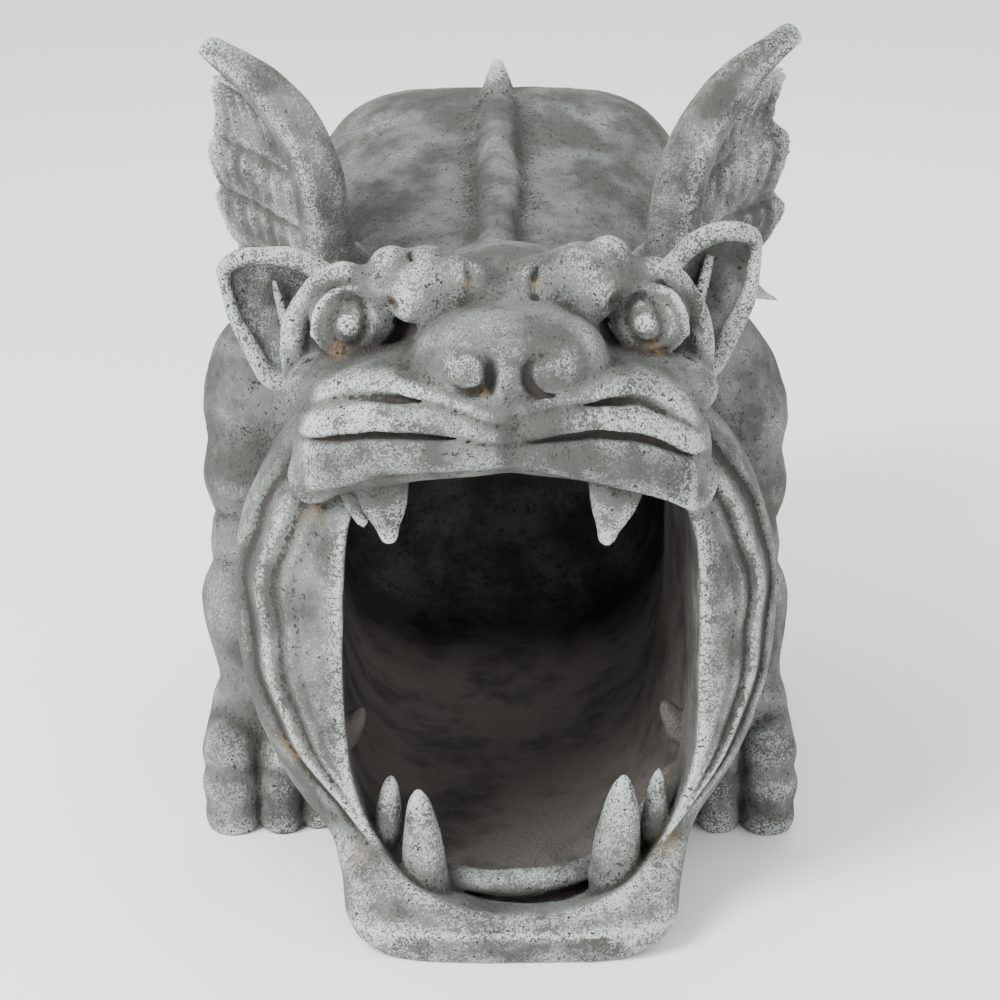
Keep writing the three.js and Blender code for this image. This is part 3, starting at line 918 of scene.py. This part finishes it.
@dataclass
class Ear:
    """A cupped ear that opens forwards, given by stations of x, top, bottom and depth of the cup."""

    side: float
    stations: list

    def shape(self, clay: Clay) -> None:
        """Adds the ear.

        Args:
            clay: The clay that is worked.
        """
        rows = smooth_rows([[i, *row] for i, row in enumerate(self.stations)], 6)
        count = 18
        v = np.linspace(-1, 1, count)
        front, back = [], []
        for i, x, top, bottom, cup in rows:
            middle, half = (top + bottom) / 2, (top - bottom) / 2
            y = EAR_ROOT_Y + EAR_SWEEP * i + cup * (1 - v * v)
            thick = 1.6 + 0.4 * cup * (1 - v * v) * 0.5
            z = middle + half * v * 0.96
            front.append(np.stack([np.full(count, x), y - 1.2, z], -1))
            back.append(np.stack([np.full(count, x), y + thick, z], -1))
        clay.slab(np.array(front), np.array(back), 1.5)
        tops = [
            (
                x, EAR_ROOT_Y + EAR_SWEEP * i, top - 2.2,
            ) for i, (x, top, bottom, _) in enumerate(self.stations)
        ]
        bottoms = [
            (
                x, EAR_ROOT_Y + EAR_SWEEP * i, bottom + 2 + (1.2 if i % 2 else -1.0),
            ) for i, (x, top, bottom, _) in enumerate(self.stations)
        ]
        clay.limb(tops, [3.6, 3.6, 3.4, 3.2, 2.8, 2.0], 2)
        clay.limb(bottoms, [3.4, 3.4, 3.2, 3.0, 2.4, 1.8], 2)
        x, top, bottom, _ = self.stations[2]
        fold = [
            (x - self.side * 2, -62, top - 12), (x - self.side * 6, -60, bottom + 18),
            (x - self.side * 10, -62, bottom + 4),
        ]
        clay.limb(fold, [1.5, 2.6, 2.2], 2)


# ---------------------------------------------------------------- wings


@dataclass
class Wing:
    """A raised wing: a thick arm that ends in a horn, and a ribbed skin with a scalloped edge."""

    side: float
    lift: float
    edge: list
    arm: list = field(
        default_factory=lambda: [
            (56, -4, 176),
            (59, -12, 196),
            (60.5, -13, 216),
            (63.5, -12, 236),
            (71, -7, 252.5),
            (84, 1, 266),
            (100.5, 9, 276),
        ]
    )
    root: list = field(
        default_factory=lambda: [
            (60, 6, 186),
            (60, 0, 192),
            (60, -6, 198),
            (60, -9, 206),
            (60, -11, 214),
            (61, -11, 224),
            (63, -9, 234),
            (68, -6, 246),
            (80, 0, 260),
        ]
    )

    def shape(self, clay: Clay) -> None:
        """Adds the arm, the membrane and the shoulder.

        Args:
            clay: The clay that is worked.
        """
        clay.ball((self.side * 56, -2, 186), (15, 18, 24), 5)
        self.membrane(clay)
        path = [
            (self.side * x, y, z + self.lift * max(0, (i - 4) / 2)) for i, (x, y, z) in enumerate(self.arm)
        ]
        clay.limb(path, [12, 10, 9.3, 9.2, 8.6, 7, 4.4], 3)
        ridge = [
            (x + self.side * 3, y - r * 0.78, z) for (x, y, z), r in zip(
                path[1:], (10, 9.3, 9.2, 8.6, 7, 4.4),
            )
        ]
        clay.limb(ridge, [2.8, 3, 3, 2.6, 2.2, 1.4], 3)

    def membrane(self, clay: Clay) -> None:
        """Adds the ribbed skin between the arm and the scalloped edge.

        Args:
            clay: The clay that is worked.
        """
        steps, across = 10, 40
        roots = smooth_rows(mirrored(self.root, self.side), steps)
        edges = self.scallops(steps)
        t = np.linspace(0, 1, across)[None, :, None]
        middle = roots[:, None, :] * (1 - t) + edges[:, None, :] * t
        middle[..., 1] += 3 * np.sin(np.pi * t[..., 0])
        u = np.linspace(0, len(self.root) - 1, len(roots))[:, None]
        off = (u / 2 + 0.5) % 1 - 0.5
        rib = np.exp(-((off / 0.13) ** 2))
        under = np.exp(-(((off + 0.2) / 0.09) ** 2))
        stripe = np.sin(t[..., 0] * 2 * np.pi * 8) * (1 - rib) * ramp(t[..., 0], 0.08, 0.2)
        half = 2.2 + 2.6 * rib * (1 - 0.3 * t[..., 0]) - 1.2 * under + 0.8 * stripe
        lean = np.array([self.side * 0.85, -0.53, 0.0])
        offset = half[..., None] * lean
        clay.slab(middle + offset, middle - offset, 1.5)

    def scallops(self, steps: int) -> np.ndarray:
        """The rear edge: points at the even stations and hollow curves between them.

        Args:
            steps: How many pieces each span is cut into.

        Returns:
            The points of the edge.
        """
        rows = mirrored(self.edge, self.side)
        made = []
        for i in range(0, len(rows) - 1, 2):
            a, b, c = (np.array(p, float) for p in rows[i : i + 3])
            middle = 2 * b - (a + c) / 2
            for k in range(2 * steps):
                t = k / (2 * steps)
                made.append(a * (1 - t) ** 2 + 2 * middle * t * (1 - t) + c * t * t)
        made.append(np.array(rows[-1], float))
        return np.array(made)


# ---------------------------------------------------------------- legs


@dataclass
class Foreleg:
    """A foreleg whose skin is gathered in rolls, with a broad paw of three toes in front."""

    side: float
    out: float
    lift: float

    def shape(self, clay: Clay) -> None:
        """Adds the leg and its paw.

        Args:
            clay: The clay that is worked.
        """
        rows = (
            (-7, 14, 172), (-1, 6, 146), (-0.5, 0, 118), (-1, -4, 92), (0, -10, 70), (-1, -16, 48),
            (1, -22, 28),
        )
        path = [
            (
                self.side * (85 + x + (self.out if z > 60 else 0)), y, z + (self.lift if z > 100 else 0),
            ) for x, y, z in rows
        ]
        clay.limb(path, [14, 22, 23, 19.5, 22, 17, 20.5, 19, 23, 21, 19, 18.5, 21, 20], 4)
        clay.ball((self.side * 84, -22, 19), (22, 22, 22), 4)
        for x, r, front in ((97, 10.4, -52), (79.5, 8.2, -51), (67, 6, -47)):
            toe = [
                (self.side * x, front + r + 20, 30), (self.side * x, front + r + 3, 29),
                (self.side * x, front + r, 18), (self.side * x, front + r, 5),
            ]
            clay.limb(toe, [r, r, r * 1.04, r * 0.88, r * 1.04, r * 0.9, r * 0.94], 1.6)


@dataclass
class Hindleg:
    """A folded hind leg: thigh, shank and a plain paw, close against the flank."""

    side: float

    def shape(self, clay: Clay) -> None:
        """Adds the leg.

        Args:
            clay: The clay that is worked.
        """
        clay.ball((self.side * 76, 96, 62), (28, 44, 56), 5)
        clay.ball((self.side * 84, 62, 24), (20, 26, 24), 5)
        clay.ball((self.side * 72, 20, 146), (28, 40, 38), 6)
        for x in (98, 84):
            clay.limb(
                [(self.side * x, 66, 16), (self.side * x, 46, 13), (self.side * x, 39, 6)], [9, 9, 7], 2,
            )


# ---------------------------------------------------------------- spine


@dataclass
class Spine:
    """The row of overlapping vertebrae along the back that ends in a spike on the rim of the inlet."""

    first: Triple = (-1, 17, 201)
    last: Triple = (-1, 117, 227)
    count: int = 5
    least: Triple = (12.6, 6.8, 6.8)
    greatest: Triple = (13.4, 7.6, 7.6)
    seed: int = 4

    def shape(self, clay: Clay) -> None:
        """Adds the flat band, the vertebrae and the spike.

        Args:
            clay: The clay that is worked.
        """
        a, b = np.array(self.first), np.array(self.last)
        clay.limb([tuple(a), tuple(b)], [7.5, 7.5], 3, flat=0.3)
        points, faces = self.vertebrae()
        clay.mesh(points, faces, 0.8)
        clay.limb([(-1, 133, 226), (-1, 134, 236), (-1, 135, 243)], [8.5, 5.5, 3], 3)

    def vertebrae(self) -> tuple[np.ndarray, np.ndarray]:
        """Repeats one vertebra along the back with geometry nodes.

        Returns:
            The points and the triangles of all vertebrae.
        """
        mesh = bpy.data.meshes.new("vertebrae")
        mesh.from_pydata([self.first, self.last], [(0, 1)], [])
        thing = bpy.data.objects.new("vertebrae", mesh)
        bpy.context.scene.collection.objects.link(thing)
        tree, names = self.tree()
        rows = thing.modifiers.new("vertebrae", "NODES")
        rows.node_group = tree
        for name, value in (
            ("Count", self.count), ("Least", self.least), ("Greatest", self.greatest), ("Seed", self.seed),
        ):
            rows[names[name]] = value
        thing = plain(thing)
        made = thing.data
        points = np.array([v.co[:] for v in made.vertices], np.float32)
        faces = np.array([f.vertices[:] for f in made.polygons], np.uint32)
        LOG.info("vertebrae: %d triangles", len(faces))
        bpy.data.objects.remove(thing)
        return points, faces

    def tree(self) -> tuple[bpy.types.NodeTree, dict[str, str]]:
        """Builds the node tree.

        Returns:
            The tree, and the identifier of each of its inputs by name.
        """
        tree = bpy.data.node_groups.new("vertebrae", "GeometryNodeTree")
        sides = tree.interface
        sides.new_socket("Geometry", in_out="INPUT", socket_type="NodeSocketGeometry")
        sides.new_socket("Geometry", in_out="OUTPUT", socket_type="NodeSocketGeometry")
        kinds = (
            ("Count", "NodeSocketInt"), ("Least", "NodeSocketVector"), ("Greatest", "NodeSocketVector"),
            ("Seed", "NodeSocketInt"),
        )
        names = {n: sides.new_socket(n, in_out="INPUT", socket_type=kind).identifier for n, kind in kinds}
        given = add_node(tree, "NodeGroupInput")
        line = add_node(tree, "GeometryNodeMeshToCurve", {}, {"Mesh": given.outputs["Geometry"]})
        places = add_node(
            tree, "GeometryNodeResampleCurve", {},
            {"Curve": line.outputs["Curve"], "Count": given.outputs["Count"]},
        )
        bone = add_node(tree, "GeometryNodeMeshIcoSphere", {}, {"Radius": 1.0, "Subdivisions": 4})
        along = add_node(tree, "GeometryNodeInputTangent")
        turn = add_node(
            tree, "FunctionNodeAlignRotationToVector", {"axis": "X"}, {"Vector": along.outputs["Tangent"]},
        )
        size = add_node(
            tree,
            "FunctionNodeRandomValue",
            {"data_type": "FLOAT_VECTOR"},
            {0: given.outputs["Least"], 1: given.outputs["Greatest"], "Seed": given.outputs["Seed"]},
        )
        spread = add_node(
            tree,
            "GeometryNodeInstanceOnPoints",
            {},
            {
                "Points": places.outputs["Curve"],
                "Instance": bone.outputs["Mesh"],
                "Rotation": turn.outputs["Rotation"],
                "Scale": size.outputs[0],
            },
        )
        real = add_node(tree, "GeometryNodeRealizeInstances", {}, {"Geometry": spread.outputs["Instances"]})
        dressed = add_node(tree, "GeometryNodeSetMaterial", {}, {"Geometry": real.outputs["Geometry"]})
        add_node(tree, "NodeGroupOutput", {}, {"Geometry": dressed.outputs["Geometry"]})
        return tree, names


# ---------------------------------------------------------------- the casting


EAR_LEFT = [
    [-56, 217, 170, 9], [-68, 223, 174, 10], [-78, 224, 178, 9], [-86, 223, 190, 7], [-90, 221, 200, 4],
    [-93, 218, 211, 1],
]
EAR_RIGHT = [
    [56, 220, 172, 9], [64, 228, 177, 10], [72, 232, 182, 9], [79, 232, 194, 7], [84, 230, 207, 4],
    [86, 227, 218, 1],
]
WING_LEFT = [
    (92, 60, 176), (96, 58, 186), (97, 53, 198), (104, 51, 211.5), (100.5, 46, 220), (106, 43, 232),
    (100, 36, 242), (102.5, 32, 256), (99, 18, 265),
]
WING_RIGHT = [
    (101, 58, 171), (93, 56, 182), (96, 53, 195), (103.5, 51, 208), (97, 46, 216), (105, 43, 235),
    (95, 36, 245), (101, 32, 260), (98, 18, 268),
]


@dataclass
class Gargoyle:
    """The whole casting, as one skin over the clay."""

    step: float = 1.0
    faces: int = 195_000
    rust: list = field(
        default_factory=lambda: [
            ((-52, -112, 203), 7),
            ((50, -112, 204), 7),
            ((-35, -114, 221), 5),
            ((37, -114, 222), 4),
            ((-10, -116, 227), 4),
            ((12, -116, 227), 4),
            ((-5, -146, 200), 4),
            ((-62, -118, 150), 9),
            ((-70, -110, 62), 13),
            ((-46, -120, 24), 11),
            ((58, -118, 30), 11),
            ((-60, -100, 40), 9),
        ]
    )

    def carve(self) -> Clay:
        """Builds all forms in a block of clay.

        Returns:
            The finished clay.
        """
        clay = Clay(BLOCK_LOW, BLOCK_HIGH, self.step)
        trunk, jaws = Trunk(), Jaws()
        trunk.shape(clay)
        jaws.shape(clay)
        for hind in (Hindleg(-1), Hindleg(1)):
            hind.shape(clay)
        for leg in (Foreleg(-1, 1.5, 0), Foreleg(1, -2, -4)):
            leg.shape(clay)
        Head().shape(clay)
        Ear(-1, EAR_LEFT).shape(clay)
        Ear(1, EAR_RIGHT).shape(clay)
        Wing(-1, 0, WING_LEFT).shape(clay)
        Wing(1, 4.5, WING_RIGHT).shape(clay)
        Spine().shape(clay)
        trunk.hollow(clay)
        jaws.teeth(clay)
        coarse, fine = (height * clay.noise(size, seed) for height, size, seed in (GRAIN_COARSE, GRAIN_FINE))
        clay.field += coarse + fine
        _, _, y, z = clay.window(clay.low, clay.low + 1000)
        np.maximum(clay.field, -z, out=clay.field)
        np.maximum(clay.field, y - REAR_FACE, out=clay.field)
        return clay

    def build(self) -> bpy.types.Object:
        """Skins the clay and thins the skin to the allowed number of faces.

        Returns:
            The casting.
        """
        clay = self.carve()
        points, quads = clay.skin()
        mesh = bpy.data.meshes.new("gargoyle_casting")
        mesh.from_pydata(points * MM, [], quads[:, ::-1].tolist())
        casting = bpy.data.objects.new("gargoyle_casting", mesh)
        bpy.context.scene.collection.objects.link(casting)
        LOG.info("skin: %d quads", len(quads))
        thin = casting.modifiers.new("thin", "DECIMATE")
        thin.ratio = min(1.0, self.faces / (2 * len(quads)))
        casting = plain(casting)
        mesh = casting.data
        mesh.polygons.foreach_set("use_smooth", [True] * len(mesh.polygons))
        co = np.zeros(len(mesh.vertices) * 3, np.float32)
        mesh.vertices.foreach_get("co", co)
        self.mark(clay, mesh, co.reshape(-1, 3) / MM)
        return casting

    def mark(self, clay: Clay, mesh: bpy.types.Mesh, points: np.ndarray) -> None:
        """Stores for the finish the relief of each place, where the inside of the water's way and the channel
        get painted shade, and where it is stained.

        Args:
            clay: The clay that is worked.
            mesh: The mesh that carries the values.
            points: The points, one a row, in millimetres.
        """
        marks = {}
        for name, cells in (("fine_relief", FINE_CELLS), ("broad_relief", BROAD_CELLS)):
            marks[name] = clay.read(clay.blurred(cells), points) / (cells * self.step)
        x, y, z = points.T
        # Painted shade inside the water's way.
        marks["inside_shade"] = Trunk().inside_shade(x, y, z)
        # Painted shade in the channel between the gum and the lower lip.
        marks["channel_shade"] = np.exp(
            -((near(points, CHANNEL) / 7) ** 2)
        ) * ramp(-y, 100, 106) * (1 - ramp(z, 12, 24))
        rust = np.zeros(len(points), np.float32)
        for place, size in self.rust:
            rust = np.maximum(rust, np.exp(-(near(points, [place, place]) / size) ** 2))
        marks["rust"] = rust
        for name, value in marks.items():
            layer = mesh.attributes.new(name, "FLOAT", "POINT")
            layer.data.foreach_set("value", value.astype(np.float32))


def near(points: np.ndarray, path: Path) -> np.ndarray:
    """How far each point is from a line of straight pieces.

    Args:
        points: The points, one a row.
        path: The corners of the line.

    Returns:
        The distances.
    """
    best = np.full(len(points), 1e9, np.float32)
    for a, b in zip(np.array(path[:-1], float), np.array(path[1:], float)):
        along = b - a
        t = np.clip((points - a) @ along / max(along @ along, 1e-9), 0, 1)
        best = np.minimum(best, np.linalg.norm(points - a - t[:, None] * along, axis=1))
    return best


def plain(thing: bpy.types.Object) -> bpy.types.Object:
    """Turns an object with live modifiers into a plain mesh object of the same name.

    Args:
        thing: The object.

    Returns:
        The same object, with a plain mesh.
    """
    graph = bpy.context.evaluated_depsgraph_get()
    mesh = bpy.data.meshes.new_from_object(thing.evaluated_get(graph))
    thing.modifiers.clear()
    thing.data = mesh
    mesh.name = thing.name
    return thing


# ---------------------------------------------------------------- finish


def linear(code: str) -> tuple[float, float, float, float]:
    """An sRGB hex colour as linear numbers.

    Args:
        code: Six hex digits.

    Returns:
        Red, green, blue and alpha.
    """
    parts = [int(code[i : i + 2], 16) / 255 for i in (0, 2, 4)]
    red, green, blue = (c / 12.92 if c <= 0.04045 else ((c + 0.055) / 1.055) ** 2.4 for c in parts)
    return red, green, blue, 1.0


@dataclass(frozen=True)
class CastStone:
    """Cast stone, poured in a mould and weathered: matt, pale in patches with painted light on its proud
    places, and painted shade in its hollows.
    """

    # pale colour of the random patches and of the painted light on the proud places
    pale_and_lit: str = "BCC4C2"
    body: str = "696D69"
    shade: str = "454642"
    # dark colour of the soot, and of the painted shade in the hollows, in the pits and inside the water's way
    dirt_and_shade: str = "2E2B27"
    rust: str = "7C6844"
    # colour of the painted shade inside the water's way
    inside_shade: str = "57524D"
    # colour of the painted shade in the channel
    channel_shade: str = "1F1915"
    matt: float = 0.86
    gloss: float = 0.22

    def make(self) -> bpy.types.Material:
        """Builds the material: pale patches with painted light on the proud places, painted shade in the
        hollows, rust stains, small pits painted dark as their shade, and painted shade inside the water's way
        and in the channel.

        Returns:
            The material.
        """
        material = bpy.data.materials.new("weathered_cast_stone")
        material.use_nodes = True
        tree = material.node_tree
        shader = tree.nodes["Principled BSDF"]
        place = add_node(tree, "ShaderNodeTexCoord").outputs["Object"]
        clouds = self.noise(tree, place, 24, 4)
        mottle = self.noise(tree, place, 3.6, 6)
        grain = self.noise(tree, place, 0.9, 3)
        fine, broad, inside_shade, channel_shade, rust = (
            add_node(tree, "ShaderNodeAttribute", {"attribute_name": name}).outputs["Fac"]
            for name in ("fine_relief", "broad_relief", "inside_shade", "channel_shade", "rust")
        )
        # Paler in ragged random patches, and on the proud places as painted light.
        proud = self.sum(tree, (broad, 0.62), (fine, 0.42))
        pale_and_lit_share = self.sum(tree, (mottle, 1.0), (grain, 1.1), (clouds, 0.5), (proud, 1.0))
        colour = self.mix(tree, self.step(tree, clouds, 0.38, 0.62), linear(self.shade), linear(self.body))
        colour = self.mix(tree, self.step(tree, pale_and_lit_share, 1.40, 1.66), colour, linear(self.pale_and_lit))
        # Painted shade darkens the hollows, broken up by the grain; soot and algae lie in random specks.
        hollow = self.sum(tree, (proud, -1.6), (grain, 0.9), (mottle, -0.3))
        colour = self.mix(tree, self.step(tree, hollow, 0.34, 0.68), colour, linear(self.dirt_and_shade))
        soot = self.sum(tree, (grain, 0.8), (mottle, 0.9))
        colour = self.mix(tree, self.step(tree, soot, 0.91, 1.04), colour, linear(self.dirt_and_shade))
        # Iron in the water leaves ochre stains.
        ochre = self.sum(tree, (rust, 1.0), (mottle, 0.9))
        colour = self.mix(tree, self.step(tree, ochre, 1.0, 1.9), colour, linear(self.rust))
        # Air bubbles at the mould's face open as small round pits, most of them in the creases; each is
        # painted dark as the shade in it.
        pits = self.pits(tree, place, fine)
        colour = self.mix(tree, pits, colour, linear(self.dirt_and_shade))
        # Painted shade: the inside of the water's way is darkened, in cloudy patches.
        inside = self.mix(tree, self.step(tree, clouds, 0.3, 0.6), linear(self.dirt_and_shade), linear(self.inside_shade))
        colour = self.mix(tree, inside_shade, colour, inside)
        # Painted shade: the channel between the gum and the lower lip is darkened, and also made glossier.
        channel_shade_and_gloss = self.step(tree, channel_shade, 0.25, 0.7)
        colour = self.mix(tree, channel_shade_and_gloss, colour, linear(self.channel_shade))
        tree.links.new(colour, shader.inputs["Base Color"])
        rough = add_node(
            tree, "ShaderNodeMapRange", {}, {"Value": channel_shade_and_gloss, "To Min": self.matt, "To Max": self.gloss}
        )
        tree.links.new(rough.outputs["Result"], shader.inputs["Roughness"])
        shader.inputs["IOR"].default_value = 1.5
        height = self.sum(tree, (mottle, 0.9), (grain, 0.5), (pits, -0.6))
        bump = add_node(tree, "ShaderNodeBump", {}, {"Height": height, "Distance": 1.4 * MM, "Strength": 1.0})
        tree.links.new(bump.outputs["Normal"], shader.inputs["Normal"])
        return material

    def noise(
        self, tree: bpy.types.NodeTree, place: bpy.types.NodeSocket, size: float, detail: float
    ) -> bpy.types.NodeSocket:
        """Noise with patches of about a size in millimetres."""
        settings = {"Vector": place, "Scale": 1 / (size * MM), "Detail": detail, "Roughness": 0.62}
        return add_node(tree, "ShaderNodeTexNoise", {}, settings).outputs["Fac"]

    def sum(
        self, tree: bpy.types.NodeTree, *parts: tuple[bpy.types.NodeSocket, float],
    ) -> bpy.types.NodeSocket:
        """Adds values, each with its own weight.

        Args:
            tree: The tree that it joins.
            *parts: Each value and its weight.

        Returns:
            The total.
        """
        total: bpy.types.NodeSocket | float = 0.0
        for value, weight in parts:
            node = add_node(
                tree, "ShaderNodeMath", {"operation": "MULTIPLY_ADD"}, {0: value, 1: weight, 2: total},
            )
            total = node.outputs[0]
        return total

    def step(
        self, tree: bpy.types.NodeTree, value: bpy.types.NodeSocket, low: float, high: float,
    ) -> bpy.types.NodeSocket:
        """An eased step from 0 at the low value to 1 at the high one.

        Args:
            tree: The tree that it joins.
            value: The value that is read.
            low: The lowest corner, or value.
            high: The highest corner, or value.

        Returns:
            The eased value.
        """
        settings = {"interpolation_type": "SMOOTHSTEP"}
        node = add_node(
            tree, "ShaderNodeMapRange", settings, {"Value": value, "From Min": low, "From Max": high},
        )
        return node.outputs["Result"]

    def mix(
        self,
        tree: bpy.types.NodeTree,
        share: bpy.types.NodeSocket,
        first: bpy.types.NodeSocket | tuple,
        second: bpy.types.NodeSocket | tuple,
    ) -> bpy.types.NodeSocket:
        """Mixes two colours.

        Args:
            tree: The tree that it joins.
            share: How much of the second colour shows.
            first: The first colour.
            second: The second colour.

        Returns:
            The mixed colour.
        """
        node = add_node(tree, "ShaderNodeMix", {"data_type": "RGBA"}, {0: share, 6: first, 7: second})
        return node.outputs[2]

    def pits(
        self, tree: bpy.types.NodeTree, place: bpy.types.NodeSocket, fine: bpy.types.NodeSocket
    ) -> bpy.types.NodeSocket:
        """Small round pits about 1.2 mm across.

        Args:
            tree: The tree that it joins.
            place: The coordinates.
            fine: The fine relief, which decides how many pits there are.

        Returns:
            1 in the pits and 0 elsewhere.
        """
        cells = add_node(tree, "ShaderNodeTexVoronoi", {}, {"Vector": place, "Scale": 1 / (PIT_SPACING * MM)})
        choice = add_node(tree, "ShaderNodeSeparateColor", {}, {"Color": cells.outputs["Color"]}).outputs[0]
        size = self.sum(tree, (choice, 0.42), (fine, -1.6))
        size = add_node(tree, "ShaderNodeMath", {"operation": "SUBTRACT"}, {0: size, 1: 0.24}).outputs[0]
        deep = add_node(
            tree, "ShaderNodeMath", {"operation": "SUBTRACT"}, {0: size, 1: cells.outputs["Distance"]},
        )
        return self.step(tree, deep.outputs[0], -0.02, 0.05)


def add_node(
    tree: bpy.types.NodeTree, kind: str, settings: dict | None = None, inputs: dict | None = None
) -> bpy.types.Node:
    """Adds a node with its settings, values and links.

    Args:
        tree: The tree that it joins.
        kind: The node's type name.
        settings: Values for its own properties.
        inputs: A value or another node's output for each input, by name or by number.

    Returns:
        The new node.
    """
    node = tree.nodes.new(kind)
    for name, value in (settings or {}).items():
        setattr(node, name, value)
    for name, value in (inputs or {}).items():
        if isinstance(value, bpy.types.NodeSocket):
            tree.links.new(value, node.inputs[name])
        else:
            node.inputs[name].default_value = value
    return node


# ---------------------------------------------------------------- studio


@dataclass
class Studio:
    """A pale floor, soft lights and the camera."""

    target: Triple = (0, -0.010, 0.115)
    distance: float = 1.150
    elevation: float = 20
    lens: float = 114.4

    def build(self) -> None:
        """Sets up the stage."""
        self.floor()
        self.lights()
        self.camera()

    def floor(self) -> None:
        """Lays the floor."""
        mesh = bpy.data.meshes.new("studio_floor")
        mesh.from_pydata([(-6, -6, 0), (6, -6, 0), (6, 6, 0), (-6, 6, 0)], [], [(0, 1, 2, 3)])
        floor = bpy.data.objects.new("studio_floor", mesh)
        bpy.context.scene.collection.objects.link(floor)
        material = bpy.data.materials.new("pale_floor")
        material.use_nodes = True
        shader = material.node_tree.nodes["Principled BSDF"]
        shader.inputs["Base Color"].default_value = linear("FFFFFF")
        shader.inputs["Roughness"].default_value = 0.9
        mesh.materials.append(material)

    def lights(self) -> None:
        """Hangs the soft boxes and lights the room evenly."""
        world = bpy.data.worlds.new("studio_room")
        world.use_nodes = True
        world.node_tree.nodes["Background"].inputs["Color"].default_value = (1, 1, 1, 1)
        world.node_tree.nodes["Background"].inputs["Strength"].default_value = 1.25
        bpy.context.scene.world = world
        for name, place, size, power in (
            ("key_light", (-0.8, -0.8, 1.0), 0.6, 34),
            ("fill_light", (0.5, -1.3, 0.35), 0.8, 7),
            ("rim_light", (0.2, 0.9, 1.2), 0.8, 8),
        ):
            light = bpy.data.lights.new(name, "AREA")
            light.size = size
            light.energy = power
            thing = bpy.data.objects.new(name, light)
            thing.location = place
            thing.rotation_euler = (Vector(self.target) - Vector(place)).to_track_quat("-Z", "Y").to_euler()
            bpy.context.scene.collection.objects.link(thing)

    def camera(self) -> None:
        """Sets the camera in front of the jaws, a little above them."""
        tilt = math.radians(self.elevation)
        away = Vector((0, -math.cos(tilt), math.sin(tilt)))
        camera = bpy.data.cameras.new("camera")
        camera.lens = self.lens
        thing = bpy.data.objects.new("camera", camera)
        thing.location = Vector(self.target) + away * self.distance
        thing.rotation_euler = (-away).to_track_quat("-Z", "Y").to_euler()
        bpy.context.scene.collection.objects.link(thing)
        bpy.context.scene.camera = thing


# ---------------------------------------------------------------- main


def main() -> None:
    """Builds the casting and the studio, and reports each piece."""
    logging.basicConfig(level=logging.INFO, format="%(message)s")
    casting = Gargoyle(step=1.0).build()
    casting.data.materials.append(CastStone().make())
    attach(casting, "root")
    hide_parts("gargoyle")
    LOG.info("%s: %d triangles", casting.name, len(casting.data.polygons))
    Studio().build()


if __name__ == "__main__":
    main()
